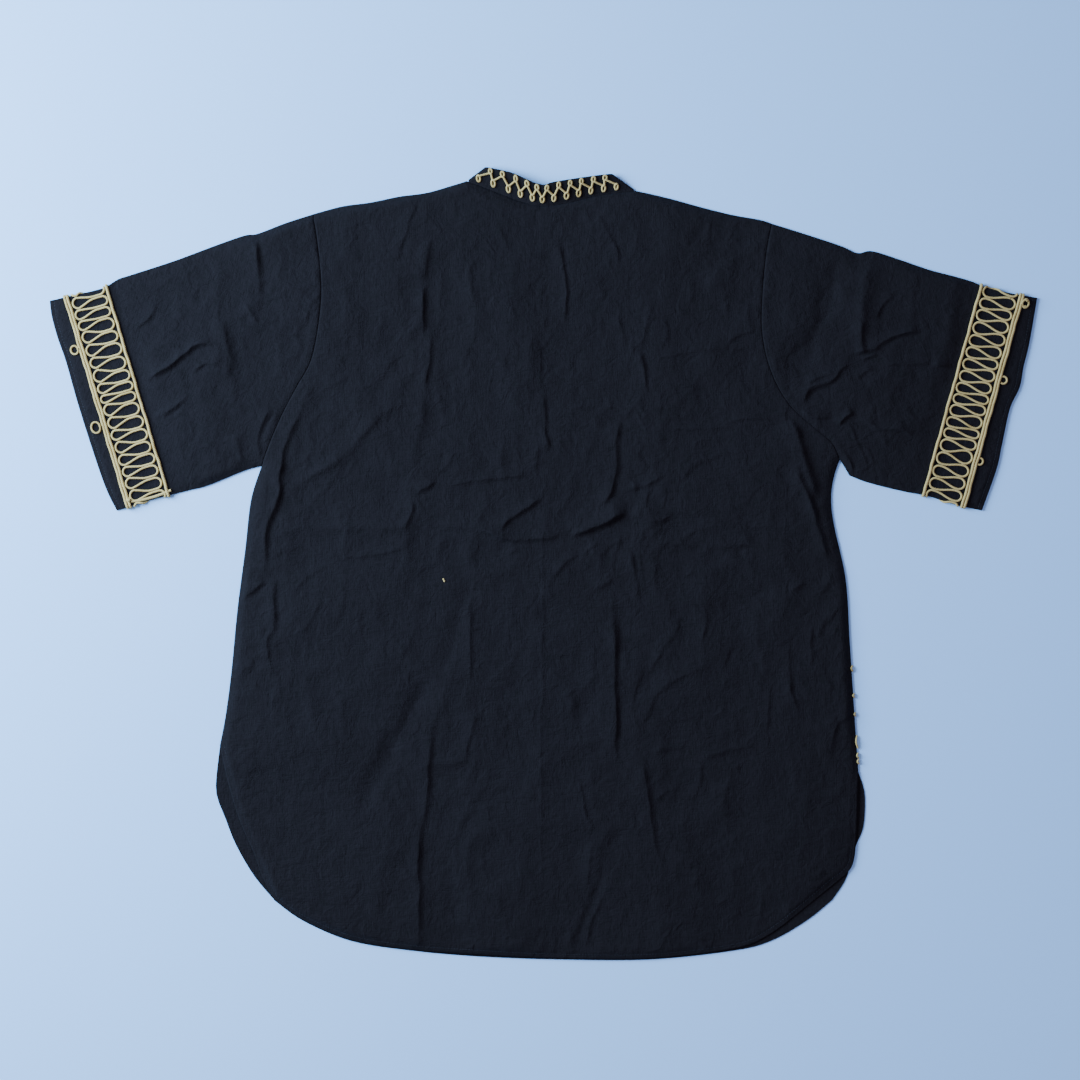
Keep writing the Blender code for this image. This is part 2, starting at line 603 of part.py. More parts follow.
def make_band(band):
    """The couched cords of one cuff."""
    length = math.dist(band.start, band.end)
    up = (0, 0, 1)
    for kind, centre, profile in (
            ("outer", RAIL_OUTER / 2, double_profile(RAIL_OUTER, CORD_HEIGHT)),
            ("inner", BAND_WIDTH - RAIL_INNER / 2, single_profile(RAIL_INNER, CORD_HEIGHT))):
        places = [band_place(band, along, centre) for along in (BAND_INSET, length - BAND_INSET)]
        cord("cuff_rail_%s_%s" % (kind, band.side), places, [up, up], profile)

    room = BAND_WIDTH - RAIL_OUTER - RAIL_INNER - 2 * GAP - CORD_WIDTH
    centre = RAIL_OUTER + GAP + CORD_WIDTH / 2 + room / 2
    period = (length - 2 * BAND_INSET - CORD_WIDTH) / MEANDER_PERIODS
    places = []
    for step in range(MEANDER_PERIODS * MEANDER_STEPS + 1):
        turn = 2 * math.pi * step / MEANDER_STEPS
        along = BAND_INSET + CORD_WIDTH / 2 + period * (
            turn / (2 * math.pi) + MEANDER_SWAY * math.sin(2 * turn))
        places.append(band_place(band, along, centre - room / 2 * math.cos(turn)))
    cord("cuff_meander_" + band.side, places, [up] * len(places), single_profile(CORD_WIDTH, CORD_HEIGHT))

    for number, loop in enumerate(band.loops, 1):
        centre = loop.reach - LOOP_CORD / 2 - loop.radius
        clear = LOOP_CORD / 2 + GAP
        ring = centre - loop.radius >= clear
        sweep = math.pi if ring else math.acos((clear - centre) / loop.radius)
        places = []
        for step in range(LOOP_STEPS + (0 if ring else 1)):
            turn = sweep * (2 * step / LOOP_STEPS - 1)
            outward = centre + loop.radius * math.cos(turn)
            places.append(band_place(band, loop.along + loop.radius * math.sin(turn), -outward))
        cord("cuff_loop_%s_%d" % (band.side, number), places, [up] * len(places),
             single_profile(LOOP_CORD, CORD_HEIGHT), closed=ring)


def collar_surface(along, share):
    """Point and normal of the collar's back half, by shares along it and up it."""
    def place(a, s):
        back = collar_ring(s)[0]
        count = len(back) - 1
        cell = min(int(a * count), count - 1)
        x, y = between(back[cell], back[cell + 1], a * count - cell)
        low = collar_top(s, cell / count)
        high = collar_top(s, (cell + 1) / count)
        return Vector((x, y, low + (high - low) * (a * count - cell)))

    step = 0.01
    here = place(along, share)
    across = place(min(along + step, 1.0), share) - place(max(along - step, 0.0), share)
    upward = place(along, min(share + step, 1.0)) - place(along, max(share - step, 0.0))
    return here, across.cross(upward).normalized()


def make_collar_cord():
    """A zigzag of fine cord round the back of the collar, with an eye at each turn."""
    length = sum(math.dist(a, b) for a, b in zip(neck_back, neck_back[1:]))
    spacing = (COLLAR_CORD_END - COLLAR_CORD_START) / (COLLAR_TURNS - 1)
    sweep = math.pi * (1 - EYE_OPEN)
    places = []
    normals = []
    for turn in range(COLLAR_TURNS):
        upper = turn % 2 == 1
        centre_along = COLLAR_CORD_START + turn * spacing
        centre_share = COLLAR_CORD_HIGH if upper else COLLAR_CORD_LOW
        for step in range(EYE_STEPS):
            angle = sweep * (2 * step / (EYE_STEPS - 1) - 1)
            across = EYE_RADIUS * math.sin(angle)
            up = EYE_RADIUS * math.cos(angle) * (1 if upper else -1)
            place, normal = collar_surface(centre_along + across / length, centre_share + up / COLLAR_BAND)
            places.append(tuple(place))
            normals.append(tuple(normal))
    cord("collar_cord", places, normals, single_profile(COLLAR_CORD_WIDTH, COLLAR_CORD_HEIGHT))


# ---- the shirt ----

for old in list(bpy.data.objects):
    bpy.data.objects.remove(old)
shirt = bpy.data.collections.new("dashiki_shirt")
bpy.context.scene.collection.children.link(shirt)

make_front()
make_back()
make_sleeve("left", seam_left, sleeve_top_left, armhole_left, [], cuff_left)
make_sleeve("right", seam_right, sleeve_top_right, armhole_right, [UNDERARM_RIGHT], cuff_right)
make_collar()
for cuff_band in BANDS:
    make_band(cuff_band)
make_collar_cord()
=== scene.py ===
"""Dashiki shirt in black cotton with couched cream cord, laid flat with its back up.

Sizes are millimetres in the shirt's own frame and become metres where a mesh is made:
X runs across the shirt, Y from hem to neck, Z up, with the surface it lies on at zero.
"""
import math
from collections import namedtuple

import bmesh
import bpy
import numpy as np
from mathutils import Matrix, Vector
from mathutils.geometry import delaunay_2d_cdt


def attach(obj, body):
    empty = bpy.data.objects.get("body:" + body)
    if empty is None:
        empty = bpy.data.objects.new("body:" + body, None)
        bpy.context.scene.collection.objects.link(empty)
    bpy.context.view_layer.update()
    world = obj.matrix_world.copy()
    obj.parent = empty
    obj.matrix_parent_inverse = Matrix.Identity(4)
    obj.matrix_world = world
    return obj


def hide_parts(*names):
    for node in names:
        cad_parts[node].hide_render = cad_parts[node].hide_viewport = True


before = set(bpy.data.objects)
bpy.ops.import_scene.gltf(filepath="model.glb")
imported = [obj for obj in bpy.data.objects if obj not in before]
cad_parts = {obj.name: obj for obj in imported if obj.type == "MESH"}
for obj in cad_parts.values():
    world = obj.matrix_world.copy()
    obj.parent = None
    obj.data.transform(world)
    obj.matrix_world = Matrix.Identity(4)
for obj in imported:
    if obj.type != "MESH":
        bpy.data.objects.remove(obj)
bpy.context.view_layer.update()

MM = 0.001

# ---- cloth, mm ----
CLOTH = 0.6              # thickness of the cotton
COLLAR_CLOTH = 1.0       # the collar: two layers and a stiffener
LAYER_GAP = 0.3          # least gap between the two layers
TOUCH = 0.04             # hair gap between sewn pieces
UPPER_BASE = 3.1         # top of the upper layer where it lies flat inside the outline
EDGE_TOP = 1.9           # and at the outline itself, where it meets the lower layer
EDGE_ROLL = 8.0          # distance over which it comes up from the one to the other
EDGE_FADE = 10.0         # folds die away this near the outline
EDGE_CRUMPLE = 0.12      # share of the crumple that is left there
PUFF = 2.0               # how far the upper layer stands off the lower one inside
PUFF_REACH = 26.0
DEEPEST = 0.7            # troughs go no deeper than this below the flat cloth
CUFF_FLAT = 68.0         # the embroidered end of a sleeve lies flat for this length
CUFF_RAMP = 20.0
CUFF_CRUMPLE = 0.3       # share of the crumple that is left on it
SEAM_DIP = 0.4           # a seam's groove
SEAM_REACH = 2.0
SEAM_PAD = 0.3           # the turnings under it, beside the groove
SEAM_PAD_OUT = 5.5
SEAM_PAD_REACH = 3.0
SEAM_STEP = 0.5          # the side towards the wearer's left lies this much higher, dying away
SEAM_STEP_RAMP = 3.0
SEAM_STEP_REACH = 10.0
SEWN_DROP = 0.55         # the back comes down by this to meet the front where they are sewn
SEWN_REACH = 3.0
HEM = 4.6                # width of the turned hem
HEM_GROOVE = 0.3         # depth and reach of its stitched groove
HEM_GROOVE_REACH = 1.5
SLIT_X = 5.0             # the front's neck slit
SLIT_BOTTOM = 155.0
SLIT_WIDTH = 1.0

# ---- the layer underneath, mm ----
FRONT_INSET = 0.4        # the front keeps this far inside the back's side seams
FRONT_LIFT = 1.5         # how high the lower layer lifts in creases
NEIGHBOUR = 8.0          # it keeps under the upper layer's lowest place this near
LOWER_CLEAR = 4.0        # it stays flat this near its edge
LOWER_REACH = 22.0
LOWER_MOVED = (37.0, 61.0)    # its creases are the upper layer's, turned over and moved,
LOWER_SHARE = 0.7        # at this share of their height
LOWER_SUNK = 0.2         # they start this far below the surface

# ---- collar, mm ----
COLLAR_SEAM_TOP = 2.2    # height of its seam at the back
COLLAR_LIFT = 9.0        # of its free edge at the middle of the back
COLLAR_END_LIFT = 3.9    # and at either end
COLLAR_END_CLEAR = 2.4   # its folds keep this far off the ends of the shoulder seams
COLLAR_ARCH = 0.7        # power of the arch between them: below 1 it is broad
COLLAR_RIPPLE = 0.25     # waves along its free edge: height, how many and where they start
COLLAR_WAVES = 11.3
COLLAR_WAVES_START = 0.8
COLLAR_UNDER = 0.4       # its front half lies this far off the surface
COLLAR_BAND = 21.0       # visible height of its back half

# ---- cords, mm: width, length of a full turn of the strands, length of a step in the mesh ----
Cord = namedtuple("Cord", "width lay step")
MEANDER = Cord(2.2, 4.2, 0.62)
LOOP = Cord(2.1, 4.2, 0.5)
RAIL_OUTER = Cord(2.8, 5.0, 0.62)    # each of the two cords side by side
RAIL_INNER = Cord(3.0, 5.0, 0.62)
COLLAR_CORD = Cord(2.05, 3.4, 0.4)
CORD_END = Cord(1.7, 2.6, 0.3)
CORD_SIDES = 12
CORD_STRANDS = 3
STRAND_SHARE = 0.1       # how far the strands stand out, as a share of the radius
LAID = 0.42              # a couched cord's middle lies this share of its width off the cloth
FLATTENED = 0.45         # it is flatter by this share underneath
PRESSED = 0.02           # no cord reaches below this height
FOLD_ROUND = 0.9         # radius of the sleeve's folded edges
UNDER_CORD = 1.3         # height left for the cord under the lower layer

# ---- stitches, mm ----
STITCH = {"Stitch length": 3.0, "Stitch share": 0.78, "Thread width": 0.34}
STITCH_LIFT = 0.05

# ---- mesh density: columns and rows of the back are the solids' times these ----
ACROSS = 8
ALONG = 7
BACK_UNDER_STEP = 3      # one cell underneath is this many on top
HEM_COLUMNS = 36 * ACROSS
TAIL_ROWS = 8 * ALONG
SIDE_ROWS = 18 * ALONG
ARM_ROWS = 16 * ALONG
SHOULDER_COLUMNS = 11 * ACROSS
NECK_COLUMNS = 14 * ACROSS
FRONT_NECK_COLUMNS = 80
FRONT_CELL = 4.8         # spacing of the points of the front
FRONT_ROW = 0.87         # of its rows, and their least distance to its edge, in cells
FRONT_CLEAR = 0.6
SLEEVE_ROWS = 126
SLEEVE_COLUMNS = 150
SLEEVE_UNDER_STEP = 3
COLLAR_ROWS = 10

# ---- outlines, mm: (x, y), each read from the left or from the bottom ----
SHOULDER_LEFT = [(-237, 360), (-207, 368), (-178, 372), (-149, 378), (-120, 382), (-92, 390),
        (-79, 394)]
SHOULDER_RIGHT = [(95, 384), (117, 379), (137, 374), (166, 366), (195, 359), (223, 354),
        (235, 350)]
NECK_BACK = [(-79, 394), (-50, 383), (-24, 373), (-1, 368), (23, 371), (58, 379), (95, 384)]
NECK_FRONT = [(-79, 394), (-69, 360), (-48, 328), (-20, 310), (5, 305), (31, 309), (62, 324),
        (85, 350), (95, 384)]
COLLAR_EDGE_BACK = [(-60, 408), (-34, 402), (-20, 396), (-9, 391), (1, 389), (11, 392), (48, 398),
        (71, 401)]
COLLAR_EDGE_FRONT = [(-60, 408), (-42, 364), (-28, 343), (-8, 331), (7, 329), (24, 331),
        (45, 341), (60, 362), (71, 401)]
ARMHOLE_LEFT = [(-290, 101), (-279, 130), (-266, 159), (-253, 183), (-239, 209), (-231, 246),
        (-228, 285), (-232, 329), (-237, 360)]
ARMHOLE_RIGHT = [(305, 108), (296, 125), (276, 142), (252, 165), (234, 198), (225, 236),
        (225, 274), (229, 319), (235, 350)]
UNDERARM_RIGHT = (315, 91)     # the right sleeve droops to here below its armhole
SIDE_LEFT = [(-333, -187), (-327, -155), (-321, -109), (-315, -47), (-307, 15), (-301, 66),
        (-290, 101)]
SIDE_RIGHT = [(324, -214), (322, -186), (319, -140), (315, -78), (311, -16), (299, 40), (296, 68),
        (299, 90), (305, 108)]
BACK_TAIL_LEFT = [(-277, -346), (-290, -320), (-298, -297), (-312, -265), (-324, -227),
        (-333, -187)]
BACK_TAIL_RIGHT = [(297, -329), (312, -318), (319, -306), (322, -279), (323, -243), (324, -214)]
BACK_HEM = [(-277, -346), (-248, -366), (-197, -387), (-135, -397), (-65, -402), (17, -406),
        (110, -406), (195, -396), (231, -382), (269, -353), (297, -329)]
FRONT_TAIL_LEFT = [(-277, -346), (-295, -325), (-308, -305), (-319, -284), (-327, -263),
        (-336, -240), (-337, -222), (-333, -187)]
FRONT_TAIL_RIGHT = [(297, -346), (311, -325), (317, -305), (322, -289), (329, -272), (331, -250),
        (330, -232), (324, -214)]
FRONT_HEM = [(-277, -346), (-248, -367), (-198, -388), (-135, -398), (-65, -404), (17, -407),
        (110, -407), (195, -398), (234, -388), (271, -367), (297, -346)]
SLEEVE_TOP_LEFT = [(-237, 360), (-265, 351), (-294, 340), (-308, 338), (-337, 328), (-380, 312),
        (-423, 298), (-438, 293), (-453, 284), (-481, 277), (-508, 271)]
SLEEVE_TOP_RIGHT = [(235, 350), (255, 344), (304, 328), (323, 320), (338, 322), (367, 313),
        (396, 303), (419, 297), (440, 291), (454, 285), (483, 278), (508, 274)]
SEAM_LEFT = [(-290, 101), (-308, 96), (-345, 81), (-364, 76), (-400, 67), (-419, 61), (-439, 55)]
SEAM_RIGHT = [(315, 91), (330, 85), (352, 79), (374, 74), (395, 70), (424, 61), (451, 55)]
CUFF_LEFT = [(-439, 55), (-453, 85), (-477, 158), (-491, 207), (-500, 233), (-506, 255),
        (-508, 271)]
CUFF_RIGHT = [(451, 55), (466, 97), (472, 124), (480, 160), (490, 182), (494, 203), (500, 228),
        (508, 274)]

# ---- folds and creases of the upper layer, mm: a path walked up or to the right, its rise,
# and how far it spreads on its left-hand and right-hand side; a negative rise is a trough ----
Fold = namedtuple("Fold", "rise left right path")
FOLDS = [
    # side of the body under the left arm
    Fold(2.4, 12, 2.3, [(-287, -14), (-285, 5), (-285, 25), (-281, 44), (-275, 60), (-271, 77),
        (-271, 97), (-269, 118), (-263, 131), (-254, 149), (-247, 169)]),
    Fold(1.8, 9, 8, [(-266, 116), (-256, 139), (-248, 164), (-239, 188)]),
    Fold(1.8, 9, 2, [(-310, -39), (-304, -30), (-294, -23), (-285, -16)]),
    Fold(0.5, 8, 1.8, [(-299, 30), (-290, 46), (-285, 66), (-284, 92)]),
    Fold(1.35, 8, 2, [(-283, -100), (-284, -83), (-281, -70)]),
    Fold(1.5, 10, 2.3, [(-280, -78), (-275, -57), (-277, -37), (-276, -14)]),
    Fold(0.5, 5, 1.8, [(-272, -121), (-280, -107), (-284, -93)]),
    Fold(0.5, 5, 1.8, [(-309, -121), (-308, -104)]),
    # long folds beside the spine, shoulder to waist
    Fold(1.4, 16, 9, [(-136, 97), (-126, 169), (-120, 231), (-124, 283), (-117, 360)]),
    Fold(2.2, 11, 2.4, [(-126, 233), (-125, 260), (-123, 291)]),
    Fold(0.9, 7, 2, [(-122, 287), (-119, 312), (-116, 338)]),
    Fold(1.35, 8, 2, [(-125, 178), (-119, 205), (-117, 242)]),
    Fold(1.3, 9, 3.4, [(-136, 99), (-129, 128), (-124, 175)]),
    Fold(1.35, 8, 2, [(-143, 32), (-137, 50), (-132, 66)]),
    Fold(1.2, 7, 4, [(-146, 221), (-138, 236), (-126, 254)]),
    Fold(0.85, 6, 1.8, [(-151, 316), (-145, 329), (-139, 350), (-131, 372)]),
    Fold(0.8, 5, 1.8, [(-160, 312), (-150, 316), (-144, 322)]),
    Fold(0.8, 8, 6, [(-125, 334), (-120, 375)]),
    Fold(1.9, 9, 4, [(-251, 83), (-204, 113), (-181, 139), (-163, 158), (-123, 168)]),
    Fold(1, 8, 6, [(-269, 72), (-241, 89), (-220, 106)]),
    # chest and waist, left of the spine
    Fold(1.5, 6, 4, [(-287, 29), (-251, 36), (-210, 37), (-148, 36), (-125, 39)]),
    Fold(2.5, 8, 2, [(-109, 39), (-76, 36), (-48, 28), (-24, 25), (29, 28)]),
    Fold(2, 8, 2, [(-132, 75), (-119, 81), (-113, 88)]),
    Fold(1.6, 8, 1.8, [(-107, 79), (-76, 86), (-45, 90), (-7, 94)]),
    Fold(1.9, 7, 2, [(-47, 31), (-35, 46), (-19, 56), (3, 72)]),
    Fold(0.7, 5, 1.8, [(-96, 66), (-81, 53), (-65, 40)]),
    Fold(0.5, 5, 1.8, [(-108, 92), (-98, 106), (-91, 120)]),
    Fold(0.9, 5, 1.8, [(-210, 9), (-179, 10), (-153, 15), (-135, 20)]),
    Fold(1.35, 10, 2, [(20, 246), (22, 272), (19, 312), (13, 334)]),
    Fold(1.5, 8, 1.9, [(3, 112), (2, 144), (0, 175)]),
    Fold(0.85, 6, 1.8, [(-8, 92), (-6, 123)]),
    Fold(0.5, 7, 1.8, [(-4, 190), (-4, 226)]),
    Fold(0.5, 5, 1.8, [(22, 112), (15, 128)]),
    Fold(0.85, 6, 1.8, [(78, 303), (74, 322), (67, 338), (58, 361)]),
    Fold(0.5, 5, 1.8, [(53, 342), (41, 370)]),
    Fold(0.5, 5, 1.8, [(-36, 319), (-41, 336), (-46, 345)]),
    # chest, right of the spine
    Fold(1.35, 8, 2, [(108, 171), (103, 198), (98, 223)]),
    Fold(0.85, 6, 1.8, [(119, 157), (122, 175)]),
    Fold(0.9, 5, 3, [(97, 221), (105, 247), (110, 266)]),
    Fold(0.5, 5, 1.8, [(85, 226), (77, 247), (79, 260)]),
    Fold(0.9, 5, 1.8, [(83, 151), (96, 164), (106, 147)]),
    Fold(1.9, 8, 2.6, [(54, 58), (64, 66), (71, 79), (75, 102), (75, 128), (80, 155)]),
    Fold(0.8, 6, 5, [(62, 68), (68, 89), (72, 113)]),
    Fold(0.5, 5, 1.8, [(92, 161), (101, 145), (108, 128)]),
    Fold(0.9, 5, 1.8, [(79, 76), (105, 80), (112, 85)]),
    Fold(1.4, 6, 1.8, [(105, 80), (125, 91)]),
    Fold(0.85, 6, 1.8, [(114, 50), (106, 61), (109, 78)]),
    Fold(1.3, 5, 2.4, [(125, 140), (161, 139), (200, 142)]),
    Fold(0.9, 5, 1.8, [(180, 145), (202, 149), (233, 151)]),
    Fold(0.8, 5, 1.8, [(132, 77), (151, 97), (177, 110), (202, 118)]),
    Fold(0.9, 6, 1.8, [(112, 210), (151, 219), (182, 221), (228, 220)]),
    Fold(1.5, 6, 1.8, [(187, 228), (200, 235), (220, 241)]),
    Fold(0.9, 5, 4, [(208, 244), (209, 268)]),
    Fold(1.9, 7, 22, [(169, 270), (178, 299), (204, 316), (235, 338)]),
    Fold(0.6, 6, 4, [(149, 267), (153, 293)]),
    Fold(0.7, 5, 1.8, [(206, 60), (216, 75), (232, 84)]),
    # the arc across the waist
    Fold(5.2, 11, 2.4, [(23, 28), (46, 36), (64, 43), (75, 50), (89, 54)]),
    Fold(1.28, 6, 1.8, [(87, 54), (105, 47), (122, 46), (136, 53)]),
    Fold(1.7, 8, 2, [(120, 55), (146, 54), (169, 46), (197, 33), (213, 19), (220, 9)]),
    Fold(1.6, 6, 1.8, [(115, 14), (126, 23), (143, 21), (161, 16)]),
    Fold(1.6, 6, 1.8, [(184, 13), (195, 17), (215, 17)]),
    Fold(0.5, 5, 1.8, [(98, 5), (108, 25), (123, 38)]),
    Fold(0.7, 5, 1.8, [(57, 5), (69, 20), (82, 27)]),
    Fold(0.85, 6, 1.8, [(46, 20), (53, 5)]),
    Fold(0.9, 5, 1.8, [(141, 24), (161, 36), (182, 35)]),
    Fold(0.9, 5, 1.8, [(202, 38), (244, 36), (274, 32)]),
    # below the waist, left
    Fold(-1.8, 9, 8, [(-107, -123), (-97, -93), (-87, -62), (-79, -37), (-72, -10)]),
    Fold(-2.6, 12, 12, [(-197, -267), (-175, -227), (-152, -186), (-135, -152), (-123, -129),
        (-115, -107)]),
    Fold(1.5, 6, 2, [(-76, -129), (-76, -98), (-75, -67), (-73, -37)]),
    Fold(0.5, 5, 1.8, [(-77, -57), (-73, -28), (-70, -11)]),
    Fold(0.9, 8, 6, [(-110, -160), (-99, -129), (-91, -98)]),
    Fold(2, 12, 2.6, [(-131, -438), (-130, -395), (-128, -346), (-129, -315), (-128, -284),
        (-121, -243), (-116, -201), (-110, -140)]),
    Fold(1.2, 5, 7, [(-127, -397), (-123, -361), (-126, -333)]),
    Fold(0.8, 6, 5, [(-126, -294), (-120, -263), (-117, -222)]),
    Fold(0.85, 6, 1.8, [(-80, -203), (-76, -181), (-68, -150)]),
    Fold(0.9, 8, 3.5, [(-101, -294), (-85, -269), (-71, -243), (-61, -218)]),
    Fold(0.5, 5, 1.8, [(-60, -232), (-56, -207)]),
    Fold(0.8, 10, 8, [(-174, -382), (-163, -304), (-147, -232)]),
    Fold(0.5, 5, 1.8, [(-234, -317), (-232, -294), (-219, -273)]),
    Fold(0.5, 5, 1.8, [(-230, -294), (-216, -276)]),
    Fold(0.6, 8, 6, [(-132, -78), (-129, -26), (-122, 5)]),
    Fold(0.5, 5, 1.8, [(-252, -78), (-242, -62), (-228, -35)]),
    Fold(0.7, 5, 1.8, [(-261, -37), (-241, -11), (-210, 5)]),
    # below the waist, right
    Fold(1.1, 7, 1.8, [(2, -24), (11, -11), (24, 1), (38, 9)]),
    Fold(1.4, 6, 1.8, [(53, -26), (63, -21), (71, -16)]),
    Fold(2.1, 12, 2.1, [(79, -210), (74, -181), (72, -140), (72, -109), (73, -78), (74, -37)]),
    Fold(0.8, 8, 2, [(71, -98), (71, -67), (70, -26)]),
    Fold(1.3, 7, 2.2, [(98, -39), (96, -21), (92, -4), (88, 19)]),
    Fold(0.5, 5, 1.8, [(103, -37), (101, -11), (95, 15)]),
    Fold(0.5, 5, 1.8, [(121, -35), (114, -11), (116, 13)]),
    Fold(1.3, 8, 7, [(26, -154), (39, -129), (59, -107)]),
    Fold(1, 8, 8, [(-14, -207), (2, -191), (32, -185), (68, -179)]),
    Fold(0.9, 6, 4, [(-7, -232), (-2, -210)]),
    Fold(0.85, 6, 1.8, [(106, -114), (121, -88), (134, -70), (141, -49)]),
    Fold(0.5, 5, 1.8, [(135, -78), (143, -59)]),
    Fold(1.1, 7, 2, [(100, -168), (110, -146), (122, -129), (139, -115), (157, -107),
        (176, -106)]),
    Fold(0.9, 6, 1.8, [(110, -194), (128, -189), (151, -186)]),
    Fold(1.7, 9, 2.2, [(125, -313), (117, -290), (110, -253), (106, -222), (101, -193)]),
    Fold(0.5, 5, 1.8, [(82, -217), (93, -232)]),
    Fold(0.5, 5, 1.8, [(90, -152), (95, -129), (103, -111)]),
    Fold(0.85, 6, 1.8, [(41, -333), (45, -315), (48, -292), (56, -278)]),
    Fold(0.85, 6, 1.8, [(54, -276), (44, -258), (39, -237), (34, -217)]),
    Fold(-0.8, 4, 5, [(29, -395), (46, -358), (58, -325), (61, -302)]),
    Fold(0.85, 6, 1.8, [(41, -397), (48, -371), (60, -340)]),
    Fold(0.7, 6, 4, [(29, -395), (36, -366), (47, -340)]),
    Fold(0.9, 5, 1.8, [(161, -201), (187, -193), (215, -187)]),
    Fold(0.5, 5, 1.8, [(149, -249), (160, -222), (160, -196)]),
    Fold(0.5, 5, 1.8, [(139, -273), (153, -249)]),
    Fold(1, 7, 4, [(187, -263), (185, -243), (187, -227), (195, -217)]),
    Fold(0.5, 5, 1.8, [(203, -294), (192, -276), (182, -265)]),
    Fold(0.9, 5, 1.8, [(132, -37), (151, -40), (174, -43)]),
    Fold(0.9, 5, 1.8, [(141, -13), (161, -10), (184, -13)]),
    Fold(0.5, 5, 1.8, [(178, -111), (188, -93), (199, -70)]),
    Fold(1.2, 2, 9, [(188, 9), (219, -5), (254, -20)]),
    Fold(1.4, 6, 1.8, [(253, -27), (270, -19)]),
    Fold(0.9, 2, 7, [(231, -26), (252, -36), (273, -51)]),
    Fold(1, 8, 2.2, [(267, -164), (259, -145), (254, -119), (251, -78)]),
    Fold(0.85, 6, 1.8, [(276, -100), (276, -62)]),
    Fold(1.35, 8, 2, [(296, -197), (298, -176), (304, -160)]),
    Fold(0.9, 5, 1.8, [(303, -162), (318, -157)]),
    Fold(0.5, 5, 1.8, [(287, -232), (285, -207)]),
    Fold(0.5, 5, 1.8, [(228, -176), (232, -140), (238, -119)]),
    Fold(0.5, 5, 1.8, [(278, -42), (291, -26), (298, -6)]),
    # side of the body under the right arm
    Fold(4.6, 13, 3.4, [(279, 64), (274, 89), (268, 113), (262, 131), (255, 151)]),
    Fold(3, 8, 2.6, [(296, -4), (287, 25), (278, 51), (270, 72), (262, 89), (258, 110)]),
    Fold(0.5, 5, 1.8, [(254, 128), (249, 154), (254, 178)]),
    # left sleeve
    Fold(2.3, 11, 2.6, [(-290, 272), (-291, 292), (-294, 319), (-297, 338)]),
    Fold(0.9, 8, 5, [(-299, 252), (-299, 272), (-301, 295)]),
    Fold(0.85, 6, 1.8, [(-290, 244), (-299, 257), (-307, 268)]),
    Fold(2.2, 9, 3.6, [(-325, 186), (-321, 209), (-325, 228), (-332, 256)]),
    Fold(0.5, 5, 1.8, [(-333, 250), (-334, 272)]),
    Fold(0.6, 6, 4, [(-318, 159), (-316, 180), (-324, 198)]),
    Fold(2.4, 6, 2.6, [(-418, 184), (-395, 198), (-371, 214), (-358, 224), (-335, 229)]),
    Fold(1.6, 6, 1.8, [(-362, 196), (-349, 205), (-331, 204)]),
    Fold(1.7, 6, 2.6, [(-406, 149), (-385, 157), (-368, 173)]),
    Fold(1, 6, 1.8, [(-420, 241), (-405, 253), (-397, 266)]),
    Fold(2.2, 8, 2.5, [(-293, 107), (-294, 128), (-288, 144), (-279, 161)]),
    Fold(1.8, 8, 5, [(-311, 101), (-317, 135)]),
    Fold(0.85, 6, 1.8, [(-245, 246), (-240, 259), (-234, 272)]),
    Fold(0.5, 5, 1.8, [(-250, 256), (-251, 270)]),
    Fold(0.5, 5, 1.8, [(-262, 281), (-259, 305)]),
    Fold(0.7, 10, 8, [(-383, 236), (-377, 262), (-375, 288)]),
    Fold(0.7, 8, 6, [(-352, 128), (-352, 154), (-354, 185)]),
    # right sleeve
    Fold(2, 7, 2.4, [(330, 214), (327, 231), (327, 252)]),
    Fold(3.2, 10, 9, [(328, 226), (329, 280), (336, 316)]),
    Fold(-3.6, 10, 15, [(238, 209), (264, 215), (282, 242), (295, 278), (307, 324)]),
    Fold(2.3, 9, 2.2, [(266, 161), (272, 178), (281, 184), (299, 190), (308, 202), (322, 211)]),
    Fold(1.6, 4, 1.8, [(270, 186), (290, 195), (301, 194)]),
    Fold(2.6, 6, 2, [(321, 219), (334, 221), (345, 221)]),
    Fold(1.6, 4, 1.8, [(327, 212), (342, 215)]),
    Fold(2.5, 7, 2.2, [(338, 221), (351, 230), (364, 236), (390, 239)]),
    Fold(1.2, 5, 1.8, [(322, 189), (327, 196), (338, 202)]),
    Fold(1.6, 5, 1.8, [(264, 156), (280, 152), (297, 150)]),
    Fold(1.9, 6, 2, [(302, 141), (310, 149), (320, 155)]),
    Fold(2, 6, 2.2, [(321, 148), (334, 144), (347, 138), (369, 138), (384, 131)]),
    Fold(0.85, 6, 1.8, [(333, 98), (327, 113), (320, 128), (314, 145)]),
    Fold(0.5, 5, 1.8, [(340, 102), (331, 120)]),
    Fold(1.35, 5, 2, [(316, 85), (315, 101), (309, 115)]),
    Fold(0.9, 6, 1.8, [(340, 251), (347, 264), (362, 277)]),
    Fold(0.9, 6, 1.8, [(347, 204), (377, 204), (403, 205)]),
    Fold(2.6, 5, 2, [(400, 204), (419, 203)]),
    Fold(0.8, 10, 8, [(329, 185), (352, 192), (383, 198)]),
    # small ones over the busiest places
    Fold(0.8, 5, 2, [(98, 20), (106, 36), (118, 44)]),
    Fold(0.7, 5, 2, [(127, 5), (135, 20), (149, 25)]),
    Fold(0.6, 4, 2, [(69, 5), (77, 20), (75, 33)]),
    Fold(0.7, 5, 2.2, [(161, 5), (174, 17), (192, 20)]),
    Fold(0.6, 5, 2, [(41, 5), (46, 15), (59, 20)]),
    Fold(0.6, 5, 2, [(106, 97), (98, 113), (103, 128)]),
    Fold(0.5, 5, 2, [(118, 221), (127, 236), (123, 252)]),
    Fold(0.6, 5, 2, [(82, 242), (75, 254), (81, 266)]),
    Fold(0.5, 5, 2, [(17, 338), (29, 342), (40, 336)]),
    Fold(0.6, 5, 2.2, [(5, 349), (17, 355), (32, 351)]),
